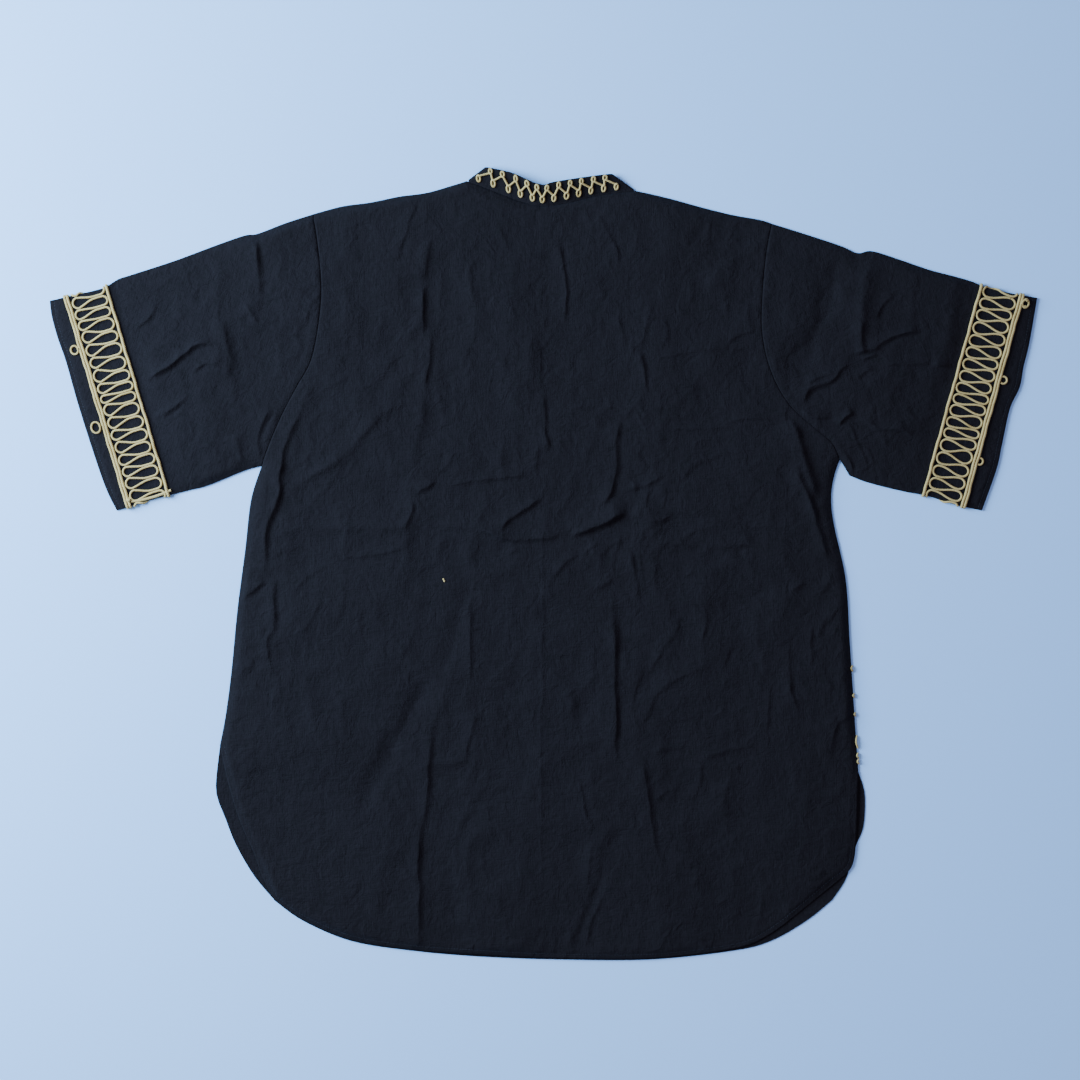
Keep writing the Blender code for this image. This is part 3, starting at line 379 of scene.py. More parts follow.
    Fold(0.5, 5, 2.2, [(48, 347), (58, 357), (74, 363)]),
    Fold(0.6, 5, 2, [(-40, 5), (-29, 17), (-14, 20)]),
    Fold(0.6, 5, 2, [(-77, 5), (-69, 17), (-72, 29)]),
    Fold(0.7, 6, 2.2, [(160, -78), (168, -59), (164, -43)]),
    Fold(0.6, 6, 2.2, [(120, -140), (132, -155), (151, -162)]),
    Fold(0.6, 6, 2.4, [(161, -140), (174, -129), (190, -127)]),
    Fold(0.7, 6, 2.4, [(115, -243), (128, -232), (145, -234)]),
    Fold(0.6, 6, 2.4, [(58, -232), (68, -243), (87, -247)]),
    Fold(0.6, 6, 2.2, [(232, -78), (224, -98), (230, -119)]),
    Fold(0.7, 5, 2.2, [(283, -78), (289, -59), (302, -49)]),
    Fold(0.6, 6, 2.2, [(151, 118), (166, 128), (184, 123)]),
    Fold(0.6, 6, 2.2, [(17, -140), (29, -129), (48, -127)]),
    # the pressed line down the middle
    Fold(0.35, 2, 1.2, [(-2, -398), (-2, -160), (-1, 66)]),
]
CREST = 1.4              # below 2 a crest is a little sharper than a bell
FOOT_BELOW = 3.3         # a side that spreads less than this has a groove at its foot:
FOOT = 0.28              # its depth as a share of the rise,
FOOT_OUT = 1.7           # how far out it lies and how wide it is, as shares of the spread
FOOT_WIDE = 0.8
FOLD_FADE = 0.22         # share of its length over which a fold rises or dies
GATHER = 0.6             # the mesh is drawn in towards the folds by this share
GATHER_REACH = 6.0
GATHER_BELOW = 3.0       # only towards those with a side narrower than this
GATHER_CLEAR = 1.0       # and not this near the panel's edge
GATHER_RAMP = 9.0

# ---- corners of the back that curl up a little, mm: where, how far round them and how high ----
CURLS = [(322, -243, 30, 1.0), (-312, -273, 50, 1.0)]
CURL_DEPTH = 13.0

# ---- crumple of the whole cloth, mm: wavelength and height of each size of it, how far it is
# bent and over what length, and the small creases strewn over it ----
CRUMPLE = [(150, 2.2), (64, 1.6), (33, 1.1), (17, 0.45), (9, 0.12)]
CRUMPLE_BEND = 7
CRUMPLE_BEND_LENGTH = 40
WANDERS = [(1.8, 34.0), (0.9, 12.0)]    # how far folds stray off their paths, over what length
UNEVEN = 0.45            # share by which they swell and sink, and over what length
UNEVEN_LENGTH = 28.0
SMALL_CREASES = 800
SMALL_AREA = ((-500, -400), (500, 390))
SMALL_TURN = 0.95        # spread of their directions about straight up
SMALL_BOW = 0.3
SMALL_HALF_LENGTH = (4.0, 18.0)
SMALL_RISE = (0.15, 0.55)
SMALL_LEFT = (2.5, 7.0)
SMALL_RIGHT = (1.8, 2.6)

# ---- cuff bands, mm: the outer rail's outer edge, from the sleeve's folded top to its seam,
# the side on which the inner rail lies, how far along it the bulbs meet at either rail, the
# shares of the way across between which the bulbs' legs cross over, and the small loops
# outside the rail: place along it and out from it, size across and along it, half sweep ----
Loop = namedtuple("Loop", "along out wide long sweep")
Band = namedtuple("Band", "side start end inward outer_joins inner_joins legs loops seed")
BANDS = [
    Band("left", (-493, 272), (-430, 61), 1,
         [1.1, 14.3, 25.8, 37.3, 51.3, 65.3, 78.3, 93.3, 105.3, 115.3, 129.3, 142.9, 155.3,
          169.3, 182.3, 194.3, 207.3, 220.8],
         [6.9, 18.5, 30.1, 44.3, 57.0, 71.3, 86.3, 98.8, 109.6, 121.0, 135.3, 149.3, 162.9,
          175.9, 188.3, 201.3, 215.0],
         (0.08, 0.66), [Loop(53.0, 4.4, 9.8, 10.8, 190), Loop(135.6, 6.2, 11.3, 13.4, 190)], 4),
    Band("right", (494, 274), (435, 61), -1,
         [3.5, 17.0, 28.4, 42.4, 55.9, 69.4, 81.0, 94.0, 107.0, 118.0, 130.0, 144.0, 154.6,
          166.7, 182.0, 195.5, 209.0, 221.5],
         [10.5, 22.5, 35.5, 49.5, 62.5, 75.0, 87.5, 100.5, 112.5, 124.0, 137.0, 149.0, 160.5,
          174.5, 188.5, 202.0, 215.0],
         (0.2, 0.78), [Loop(5.5, 3.0, 9.0, 11.0, 300), Loop(87.5, 2.4, 9.2, 9.6, 125),
                       Loop(174.5, 1.4, 8.2, 9.0, 110)], 9),
]
BAND_WIDTH = 47.0
BAND_CLEAR = 9.0         # its flat ground begins this far beyond either rail, over a ramp,
BAND_RAMP = 7.0
BAND_FROM = -60.0        # and lies between these places along the band
BAND_TO = 300.0
BAND_STILL = 0.8         # share of the crumple that the cords take away
MEANDER_PERIOD = 12.9    # round the side that lies underneath
JOIN_STRAYS = 0.9        # how far joins, and the inner ones, stray there
INNER_STRAYS = 0.8
GAP_SHARES = (0.86, 1.12)    # from a join to its cord's middle, in half widths of the cord
RIM_STRAYS = 0.7         # how far a bulb keeps off its rail
RAIL_CLEAR = 0.05
BULB_LONG = 1.05         # a bulb's round end is this much longer than half its width
BULB_POINTS = 13
LEG_POINTS = 26
RAIL_POINTS = 420
RAIL_WAVES = ((9, 0.22), (21, 0.15), (37, 0.08))    # how many round a rail and how high
LOOP_POINTS = 48
LOOP_COIL = 0.55         # share by which a loop shrinks in half a turn past the first
LOOP_CROSSING = (140.0, 180.0)    # degrees over which its end climbs over its start
LOOP_LAID = 0.45         # heights of the start, and of the climb, in cord widths
LOOP_STACKED = 0.75

# ---- the knot at the left cuff's seam and the loose tail beside it, mm ----
Knot = namedtuple("Knot", "x y bottom size turns")
CORD_KNOT = Knot(-426.9, 65.9, UPPER_BASE + 0.6, 2.0, 2.1)
KNOT_POINTS = 40
KNOT_WANDER = 5.3
KNOT_RISE = 1.2
CORD_TAIL = [(-424, 64.5), (-416, 65.2), (-409, 66.8), (-400, 69.2), (-392, 72), (-383, 76)]
CORD_TAIL_LIFT = 0.7

# ---- eyes of the collar's zigzag, mm: where each sits across the shirt, its share of the
# collar's height, half width and half height, and how much these vary ----
LOWER_EYES = [-66.8, -51.7, -36.0, -23.7, -11.4, -1.2, 10.7, 23.7, 36.2, 48.7, 61.8, 74.8]
UPPER_EYES = [-54.5, -42.1, -28.4, -16.9, -6.7, 3.5, 15.7, 27.4, 38.9, 51.3, 63.2]
Eyes = namedtuple("Eyes", "share wide tall")
LOWER = Eyes(0.33, 1.8, 3.0)
UPPER = Eyes(0.84, 1.6, 2.3)
EYE_WIDTHS = (0.9, 1.12)
EYE_HEIGHTS = (0.93, 1.08)
EYE_SWEEP = 205.0        # degrees to either side of its far end
EYE_POINTS = 23
EYE_CROSSING = 0.2       # share of the sweep after which its cord climbs over itself,
EYE_STACKED = 0.55       # by this share of its width

# ---- ends of the front's own cord that bow out past the side seam, mm: (y, length along the
# seam), and a fleck of lint on the back: (x, y, angle) ----
SIDE_CORD_ENDS = [(-107.6, 5.5), (-135.4, 3.6), (-154.8, 3.2), (-183.0, 13.0), (-197.2, 5.0),
                  (-203.4, 4.4)]
END_OUT = 1.3            # their ends lie this far off the seam
END_BOW = 1.5            # their middles lie this much further in and higher
END_HEIGHT = 0.95
LINT = [(-102.5, -16.0, 1.9)]
LINT_HALF = 1.7
LINT_LIFT = 0.35

# ---- stage, m ----
Lamp = namedtuple("Lamp", "name place size power colour")
LAMPS = [Lamp("window_light", (-1.6, 0.5, 0.95), 1.2, 158.0, "#b2d5ff"),
         Lamp("fill_light", (1.4, -0.6, 2.6), 2.0, 14.0, "#ead9ff")]
ROOM_COLOUR = "#cfd6ff"
ROOM_STRENGTH = 0.43
FLOOR_HALF = 4.0
FLOOR_BELOW = 0.0002
CAMERA_PLACE = (-0.0036, 0.0247)
CAMERA_HEIGHT = 2.6
VIEW_WIDTH = 1.112       # width of the floor that the camera sees


# ---- lines and grids ----

def evenly(points, count):
    """Resample a line at count + 1 points, evenly spaced along its length."""
    points = np.asarray(points, float)
    steps = np.linalg.norm(np.diff(points, axis=0), axis=1)
    lengths = np.concatenate([[0.0], np.cumsum(steps)])
    targets = np.linspace(0, lengths[-1], count + 1)
    return np.stack([np.interp(targets, lengths, values) for values in points.T], axis=1)


def smooth_line(corners, count):
    """Count + 1 even points of a soft curve through the corners."""
    corners = np.asarray(corners, float)
    ends = np.vstack([corners[:1], corners, corners[-1:]])
    t = np.linspace(0, 1, 24, endpoint=False)[:, None]
    dense = []
    for p0, p1, p2, p3 in zip(ends, ends[1:], ends[2:], ends[3:]):
        dense.append(0.5 * (2 * p1 + (p2 - p0) * t + (2 * p0 - 5 * p1 + 4 * p2 - p3) * t ** 2
                            + (3 * p1 - p0 - 3 * p2 + p3) * t ** 3))
    dense.append(corners[-1:])
    return evenly(np.vstack(dense), count)


def both(first, second, count):
    """Two edges of a kind as soft curves."""
    return smooth_line(first, count), smooth_line(second, count)


def joined(*lines):
    """One line from several, each of which starts where the last one ends."""
    return np.vstack([lines[0]] + [line[1:] for line in lines[1:]])


def patch(bottom, top, left, right):
    """A grid of points between four edge lines, read from the left and from the bottom."""
    u = np.linspace(0, 1, len(bottom))[None, :, None]
    v = np.linspace(0, 1, len(left))[:, None, None]
    ruled = (1 - v) * bottom[None] + v * top[None] + (1 - u) * left[:, None] + u * right[:, None]
    corners = ((1 - u) * (1 - v) * bottom[0] + u * (1 - v) * bottom[-1]
               + (1 - u) * v * top[0] + u * v * top[-1])
    return ruled - corners


def border(grid):
    """The edge of a grid of points as one closed line."""
    return np.vstack([grid[0], grid[1:, -1], grid[-1, -2::-1], grid[-2::-1, 0]])


def shifted(line, distance):
    """A line moved to its left-hand side by a distance."""
    along = np.gradient(line, axis=0)
    along /= np.linalg.norm(along, axis=1)[:, None]
    return line + distance * np.stack([-along[:, 1], along[:, 0]], axis=1)


def toward(a, b, distance):
    """The point a distance from a towards b."""
    a = np.asarray(a, float)
    b = np.asarray(b, float)
    return a + (b - a) * distance / np.linalg.norm(b - a)


def ease(value):
    """A soft step from 0 to 1 as the value goes from 0 to 1."""
    value = np.clip(value, 0.0, 1.0)
    return value * value * (3 - 2 * value)


def bell(distance, reach):
    """1 at no distance, dying away softly over a reach."""
    return np.exp(-(distance / reach) ** 2)


def nearest(points, line):
    """Distance to a line, share of its length at the nearest place, the side and the place."""
    line = np.asarray(line, float)
    steps = np.diff(line, axis=0)
    lengths = np.linalg.norm(steps, axis=1)
    total = lengths.sum()
    best = np.full(len(points), np.inf)
    along = np.zeros(len(points))
    side = np.ones(len(points))
    place = np.array(points, float)
    walked = 0.0
    for start, step, length in zip(line, steps, lengths):
        across = points - start
        share = np.clip(across @ step / length ** 2, 0.0, 1.0)
        apart = across - share[:, None] * step
        distance = np.hypot(apart[:, 0], apart[:, 1])
        closer = distance < best
        turn = step[0] * across[:, 1] - step[1] * across[:, 0]
        best[closer] = distance[closer]
        along[closer] = (walked + share[closer] * length) / total
        side[closer] = np.where(turn[closer] >= 0, 1.0, -1.0)
        place[closer] = points[closer] - apart[closer]
        walked += length
    return best, along, side, place


def noise(points, wavelength, seed):
    """Smooth random height from -1 to 1 over the plane."""
    size = 97
    table = np.random.RandomState(seed).uniform(-1, 1, (size, size))
    place = points / wavelength + 31.7
    cell = np.floor(place).astype(int)
    part = place - cell
    part = part * part * part * (part * (part * 6 - 15) + 10)
    x0, y0 = cell[:, 0] % size, cell[:, 1] % size
    x1, y1 = (x0 + 1) % size, (y0 + 1) % size
    low = table[x0, y0] * (1 - part[:, 0]) + table[x1, y0] * part[:, 0]
    high = table[x0, y1] * (1 - part[:, 0]) + table[x1, y1] * part[:, 0]
    return low * (1 - part[:, 1]) + high * part[:, 1]


def noise_shift(points, wavelength, seeds):
    """A smooth random move in the plane, one seed for either direction."""
    return np.stack([noise(points, wavelength, seed) for seed in seeds], axis=1)


# ---- the seams and edges that pieces share ----

armhole_left, armhole_right = both(ARMHOLE_LEFT, ARMHOLE_RIGHT, ARM_ROWS)
shoulder_left, shoulder_right = both(SHOULDER_LEFT, SHOULDER_RIGHT, SHOULDER_COLUMNS)
side_left, side_right = both(SIDE_LEFT, SIDE_RIGHT, SIDE_ROWS)
tail_left, tail_right = both(BACK_TAIL_LEFT, BACK_TAIL_RIGHT, TAIL_ROWS)
front_tail_left, front_tail_right = both(FRONT_TAIL_LEFT, FRONT_TAIL_RIGHT, TAIL_ROWS)
back_hem, front_hem = both(BACK_HEM, FRONT_HEM, HEM_COLUMNS)
sleeve_top_left, sleeve_top_right = both(SLEEVE_TOP_LEFT, SLEEVE_TOP_RIGHT, SLEEVE_ROWS)
seam_left, seam_right = both(SEAM_LEFT, SEAM_RIGHT, SLEEVE_ROWS)
cuff_left, cuff_right = both(CUFF_LEFT, CUFF_RIGHT, SLEEVE_COLUMNS)
neck_back = smooth_line(NECK_BACK, NECK_COLUMNS)
neck_front = smooth_line(NECK_FRONT, FRONT_NECK_COLUMNS)
back_edge = joined(tail_left[::-1], back_hem, tail_right)
upper_outline = joined(
    back_hem, tail_right, side_right, np.vstack([side_right[-1:], seam_right]), cuff_right,
    sleeve_top_right[::-1], shoulder_right[::-1], neck_back[::-1], shoulder_left[::-1],
    sleeve_top_left, cuff_left[::-1], seam_left[::-1], side_left[::-1], tail_left[::-1])[::4]

# outward is 1 where the sleeve lies on the left-hand side of its armhole, walked upwards
Sleeve = namedtuple("Sleeve", "outward armhole top seam cuff")
SLEEVES = {"left": Sleeve(1, armhole_left, sleeve_top_left, seam_left, cuff_left),
           "right": Sleeve(-1, armhole_right, sleeve_top_right, seam_right, cuff_right)}


# ---- the form of the upper layer ----

def all_creases():
    """The folds with smooth paths, and small creases strewn over the whole cloth."""
    random = np.random.RandomState(17)
    creases = [fold._replace(path=smooth_line(fold.path, 5 * len(fold.path))) for fold in FOLDS]
    for _ in range(SMALL_CREASES):
        centre = random.uniform(*SMALL_AREA)
        angle = random.normal(math.pi / 2, SMALL_TURN)
        run = random.uniform(*SMALL_HALF_LENGTH) * np.array([math.cos(angle), math.sin(angle)])
        bow = random.uniform(-SMALL_BOW, SMALL_BOW) * np.array([-run[1], run[0]])
        sizes = [random.uniform(*limits) for limits in (SMALL_RISE, SMALL_LEFT, SMALL_RIGHT)]
        creases.append(Fold(*sizes, smooth_line([centre - run, centre + bow, centre + run], 6)))
    return creases


creases = all_creases()


def wandered(points):
    """Where the points lie once the folds' paths have been made to wander a little."""
    moved = points.copy()
    for k, (far, length) in enumerate(WANDERS):
        moved += far * noise_shift(points, length, (11 + k, 15 + k))
    return moved


def near_crease(points, crease, reach):
    """The points near a crease, and for those their distance, its swell, the side and the place."""
    low, high = crease.path.min(0) - reach, crease.path.max(0) + reach
    near = np.all((points > low) & (points < high), axis=1)
    if not near.any():
        return near, None, None, None, None
    distance, along, side, place = nearest(points[near], crease.path)
    return near, distance, ease(along / FOLD_FADE) * ease((1 - along) / FOLD_FADE), side, place


def crease_rise(points):
    """Sum of the creases: each swells along its path and dies at both ends."""
    moved = wandered(points)
    total = np.zeros(len(points))
    for crease in creases:
        reach = 3 * max(crease.left, crease.right)
        near, distance, swell, side, _ = near_crease(moved, crease, reach)
        if swell is not None:
            spread = np.where(side > 0, crease.left, crease.right)
            form = np.exp(-(distance / spread) ** CREST)
            if crease.rise > 0:
                foot = bell(distance / spread - FOOT_OUT, FOOT_WIDE)
                form -= FOOT * (spread < FOOT_BELOW) * foot
            total[near] += crease.rise * swell * form
    return total * (1 + UNEVEN * noise(points, UNEVEN_LENGTH, 19))


def gathered(points, outline):
    """Points of a panel drawn in towards the folds' crests, so that the mesh is finest there."""
    points = points.copy()
    inside = ease((nearest(points, outline)[0] - GATHER_CLEAR) / GATHER_RAMP)
    for crease in creases[:len(FOLDS)]:
        if crease.right > GATHER_BELOW:
            continue
        moved = wandered(points)
        near, distance, swell, _, place = near_crease(moved, crease, 3 * GATHER_REACH)
        if swell is not None:
            pull = GATHER * swell * bell(distance, GATHER_REACH) * inside[near]
            points[near] += (place - moved[near]) * pull[:, None]
    return points


def crumple(points):
    """Fine creasing all over: soft lumps crossed by small sharp crests."""
    total = np.zeros(len(points))
    bent = points + CRUMPLE_BEND * noise_shift(points, CRUMPLE_BEND_LENGTH, (21, 22))
    for k, (wavelength, height) in enumerate(CRUMPLE):
        crest = 1 - 2 * np.abs(noise(bent, wavelength, 30 + k))
        lump = noise(bent, wavelength, 40 + k)
        total += height * (0.5 * crest + 0.5 * lump)
    return total


def band_frame(band):
    """A cuff band's start, its direction along the cuff and its direction into the sleeve."""
    start = np.array(band.start, float)
    direction = np.array(band.end, float) - start
    direction /= np.linalg.norm(direction)
    inward = np.array([-direction[1], direction[0]]) * band.inward
    return start, direction, inward


def on_band(depth):
    """1 at the depths of a cuff band and 0 away from them, with a soft step at either rail."""
    return (ease((depth + BAND_CLEAR) / BAND_RAMP)
            * ease((BAND_WIDTH + BAND_CLEAR - depth) / BAND_RAMP))


def banded(points):
    """1 over the cords of either cuff and 0 away from them."""
    total = np.zeros(len(points))
    for band in BANDS:
        start, direction, inward = band_frame(band)
        along = (points - start) @ direction
        total += on_band((points - start) @ inward) * (along > BAND_FROM) * (along < BAND_TO)
    return total


def upper_height(points):
    """Height of the upper layer's outer face over the surface it lies on."""
    edge = nearest(points, upper_outline)[0]
    cuff = np.min([nearest(points, sleeve.cuff[::6])[0] for sleeve in SLEEVES.values()], axis=0)
    slack = ease((cuff - CUFF_FLAT) / CUFF_RAMP)
    corded = banded(points)
    base = EDGE_TOP + (UPPER_BASE - EDGE_TOP) * np.maximum(ease(edge / EDGE_ROLL), corded)
    puff = PUFF * (1 - np.exp(-edge / PUFF_REACH)) * slack
    fade = ease(edge / EDGE_FADE)
    folds = crease_rise(points) * slack * fade
    small = (crumple(points) * (CUFF_CRUMPLE + (1 - CUFF_CRUMPLE) * slack)
             * (EDGE_CRUMPLE + (1 - EDGE_CRUMPLE) * fade))
    small *= 1 - BAND_STILL * corded
    height = base + np.maximum(puff + folds + small, -DEEPEST * fade)
    for sleeve in SLEEVES.values():
        distance, _, side, _ = nearest(points, sleeve.armhole[::4])
        pad = bell(distance - SEAM_PAD_OUT, SEAM_PAD_REACH) * (side * sleeve.outward > 0)
        step = ease(0.5 + side * distance / SEAM_STEP_RAMP) * np.exp(-distance / SEAM_STEP_REACH)
        height -= SEAM_DIP * bell(distance, SEAM_REACH) * fade
        height += SEAM_PAD * pad * fade
        height += SEAM_STEP * step * fade
    return height


def lower_lift(points, edge):
    """How far the layer underneath lifts off the surface in its own creases: those of the
    upper one, turned over and moved."""
    room = 1 - np.exp(-np.maximum(edge - LOWER_CLEAR, 0.0) / LOWER_REACH)
    turned = points * (-1.0, 1.0) + LOWER_MOVED
    creased = LOWER_SHARE * crease_rise(turned) + LOWER_SHARE * crumple(turned) - LOWER_SUNK
    return np.clip(creased, 0.0, FRONT_LIFT) * room


def hem_form(points, line):
    """The turned hem: a low groove where it is stitched."""
    return -HEM_GROOVE * bell(nearest(points, line[::3])[0] - HEM, HEM_GROOVE_REACH)


# ---- meshes ----

def placed(name, data):
    """A new object in the scene for a mesh, a path, a lamp or a camera."""
    item = bpy.data.objects.new(name, data)
    bpy.context.scene.collection.objects.link(item)
    return item


def finish(name, mesh, material, replaced):
    """Make a finished mesh into a piece that rides on the shirt and stands for its solids."""
    piece = placed(name, mesh)
    mesh.materials.clear()
    mesh.materials.append(material)
    mesh.shade_smooth()
    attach(piece, "root")
    if replaced:
        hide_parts(*replaced)
    return piece


def sharpen(piece):
    """Keep the cut edges of a piece square."""
    piece.data.set_sharp_from_angle(angle=math.radians(50))


def mesh_of(name, points, faces):
    """A mesh in metres, turned so that its faces point outwards."""
    mesh = bpy.data.meshes.new(name)
    mesh.from_pydata((np.asarray(points, float) * MM).tolist(), [], faces)
    mesh.validate()
    shape = bmesh.new()
    shape.from_mesh(mesh)
    inside_out = shape.calc_volume(signed=True) < 0
    shape.free()
    if inside_out:
        mesh.flip_normals()
    return mesh


def wall(name, outer, inner, step=1, tube=False):
    """A closed wall between two grids of points. The inner one may be coarser by a step, and
    the rows of a tube close on themselves."""
    points = np.vstack([outer.reshape(-1, 3), inner.reshape(-1, 3)])
    fine = np.arange(outer[..., 0].size).reshape(outer.shape[:2])
    coarse = fine.size + np.arange(inner[..., 0].size).reshape(inner.shape[:2])
    if tube:
        fine, coarse = (np.hstack([grid, grid[:, :1]]) for grid in (fine, coarse))
    faces = []
    for grid, order in ((fine, 1), (coarse, -1)):
        corners = np.stack([grid[:-1, :-1], grid[:-1, 1:], grid[1:, 1:], grid[1:, :-1]], axis=-1)
        faces += [tuple(face[::order]) for face in corners.reshape(-1, 4).tolist()]
    rims = [(fine[0], coarse[0], 1), (fine[-1], coarse[-1], -1)]
    if not tube:
        rims += [(fine[::-1, 0], coarse[::-1, 0], 1), (fine[::-1, -1], coarse[::-1, -1], -1)]
    for above, below, order in rims:
        for k in range(len(below) - 1):
            face = above[k * step:(k + 1) * step + 1].tolist()[::-1] + below[k:k + 2].tolist()
            faces.append(tuple(face[::order]))
    return mesh_of(name, points, faces)


def plain_under(top, step):
    """A coarser and plainer grid, a cloth's thickness below the lowest of what is over it."""
    rows, columns = top.shape[:2]
    reach = range(-step, step + 1)
    lowest = np.full((rows, columns), np.inf)
    for dj in reach:
        for di in reach:
            j = np.clip(np.arange(rows) + dj, 0, rows - 1)
            i = np.clip(np.arange(columns) + di, 0, columns - 1)
            lowest = np.minimum(lowest, top[np.ix_(j, i)][..., 2])
    under = top[::step, ::step].copy()
    under[..., 2] = lowest[::step, ::step] - CLOTH
    return under


# ---- nodes and materials ----

def plug(tree, node, inputs):
    """Give a node's sockets a value or another node's output each."""
    for key, value in inputs.items():
        if isinstance(value, bpy.types.NodeSocket):
            tree.links.new(value, node.inputs[key])
        else:
            node.inputs[key].default_value = value


def linear(code):
    """An sRGB hex colour as linear RGBA."""
    parts = [int(code[k:k + 2], 16) / 255 for k in (1, 3, 5)]
    return tuple(c / 12.92 if c <= 0.04045 else ((c + 0.055) / 1.055) ** 2.4
                 for c in parts) + (1.0,)


def add(tree, kind, inputs=None, stops=(), **settings):
    """Add a node with its settings; inputs maps a socket to a value or to an output, and
    stops are the places and sRGB hex colours of a ramp."""
    node = tree.nodes.new(kind)
    for key, value in settings.items():
        setattr(node, key, value)
    plug(tree, node, inputs or {})
    if stops:
        elements = node.color_ramp.elements
        for end in (0, -1):
            elements[end].position, elements[end].color = stops[end][0], linear(stops[end][1])
        for place, code in stops[1:-1]:
            elements.new(place).color = linear(code)
    return node


def new_material(name):
    """An empty material: itself, its tree, its shader and the place on the piece."""
    material = bpy.data.materials.new(name)
    material.use_nodes = True
    tree = material.node_tree
    place = add(tree, "ShaderNodeTexCoord").outputs["Object"]
    return material, tree, tree.nodes["Principled BSDF"], place


def black_cotton(name, turn):
    """Plain-woven black cotton with slubby yarn, washed: a soft, matt black whose loose fibre
    catches a little light. Turn is how far the piece's grain is turned from the body's."""
    material, tree, shader, place = new_material(name)
    grain = add(tree, "ShaderNodeMapping", {"Vector": place, "Rotation": (0, 0, turn)}).outputs[0]
    # a wave of scale 1 repeats each 0.314 units: yarns stand 0.6 mm apart
    yarns = {"Vector": grain, "Scale": 0.31416 / 0.0006, "Distortion": 1.6, "Detail": 1.0,
             "Detail Scale": 0.4}
    warp, weft = (add(tree, "ShaderNodeTexWave", yarns, bands_direction=way).outputs["Fac"]
                  for way in "XY")
    weave = add(tree, "ShaderNodeMath", {0: warp, 1: weft}, operation="MULTIPLY").outputs[0]
    # slubs, the thick places in the yarn: about 1 mm wide and 9 mm long
    slubs = []
    for scale in ((900, 110, 400), (120, 850, 400)):
        yarn = add(tree, "ShaderNodeMapping", {"Vector": grain, "Scale": scale}).outputs[0]
        slubs.append(add(tree, "ShaderNodeTexNoise",
                         {"Vector": yarn, "Scale": 1.0, "Detail": 2.0}).outputs["Fac"])
    slub = add(tree, "ShaderNodeMath", {0: slubs[0], 1: slubs[1]}, operation="ADD").outputs[0]
    # creasing too fine for the mesh: about 4 mm and 16 mm from crest to crest
    fine, coarse = (
        add(tree, "ShaderNodeTexNoise", {"Vector": grain, "Scale": scale, "Detail": detail,
                                         "Roughness": rough, "Distortion": bent}).outputs["Fac"]
        for scale, detail, rough, bent in ((260.0, 4.0, 0.6, 0.5), (62.0, 3.0, 0.55, 1.1)))
    normal = {}
    for height, depth, strength in ((weave, 0.00012, 0.4), (slub, 0.0005, 0.7),
                                    (fine, 0.0009, 0.7), (coarse, 0.0022, 0.7)):
        bump = add(tree, "ShaderNodeBump", {"Height": height, "Distance": depth,
                                            "Strength": strength, **normal})
        normal = {"Normal": bump.outputs[0]}
    dye = add(tree, "ShaderNodeValToRGB", {"Fac": slub},
              stops=((0.75, "#141111"), (0.88, "#161313"), (1.0, "#191516")))
    plug(tree, shader, {
        "Base Color": dye.outputs["Color"], "Roughness": 0.9, "IOR": 1.45,
        "Specular IOR Level": 0.12, "Sheen Weight": 0.026, "Sheen Roughness": 0.5,
        "Sheen Tint": linear("#a9bbdd"), **normal})
    return material


def cream_cord():
    """Twisted cotton cord, cream: matt and soft, a little uneven in its dye."""
    material, tree, shader, place = new_material("cream_cotton_cord")
    # fibre of about 0.7 mm and patches of about 17 mm
    fibre, patchy = (
        add(tree, "ShaderNodeTexNoise",
            {"Vector": place, "Scale": scale, "Detail": detail}).outputs["Fac"]
        for scale, detail in ((1400.0, 3.0), (60.0, 2.0)))
    uneven = add(tree, "ShaderNodeMath", {0: fibre, 1: patchy}, operation="ADD").outputs[0]
    dye = add(tree, "ShaderNodeValToRGB", {"Fac": uneven},
              stops=((0.7, "#aa8c4c"), (1.0, "#c2a665")))
    bump = add(tree, "ShaderNodeBump", {"Height": fibre, "Distance": 0.00012, "Strength": 0.4})
    plug(tree, shader, {
        "Base Color": dye.outputs["Color"], "Roughness": 0.8, "Specular IOR Level": 0.3,
        "Sheen Weight": 0.08, "Normal": bump.outputs[0]})
    return material


def black_thread():
    """Spun polyester sewing thread, black: a little glossier than the cotton."""
    material, tree, shader, place = new_material("black_sewing_thread")
    # plies of about 0.4 mm
    ply = add(tree, "ShaderNodeTexNoise",
              {"Vector": place, "Scale": 2500.0, "Detail": 1.0}).outputs["Fac"]
    dye = add(tree, "ShaderNodeValToRGB", {"Fac": ply},
              stops=((0.0, "#0d0e12"), (1.0, "#1f222b")))
    plug(tree, shader, {"Base Color": dye.outputs["Color"], "Roughness": 0.55})
    return material


def floor_paint():
    """Pale painted board, satin: nearly white with a cool cast."""
    material, tree, shader, place = new_material("pale_floor")
    cloud = add(tree, "ShaderNodeTexNoise",
                {"Vector": place, "Scale": 1.5, "Detail": 2.0}).outputs["Fac"]
    paint = add(tree, "ShaderNodeValToRGB", {"Fac": cloud},
                stops=((0.0, "#aedaff"), (1.0, "#b2dcff")))
    plug(tree, shader, {"Base Color": paint.outputs["Color"], "Roughness": 0.85,
                        "Specular IOR Level": 0.2})
    return material


# ---- cloth pieces ----

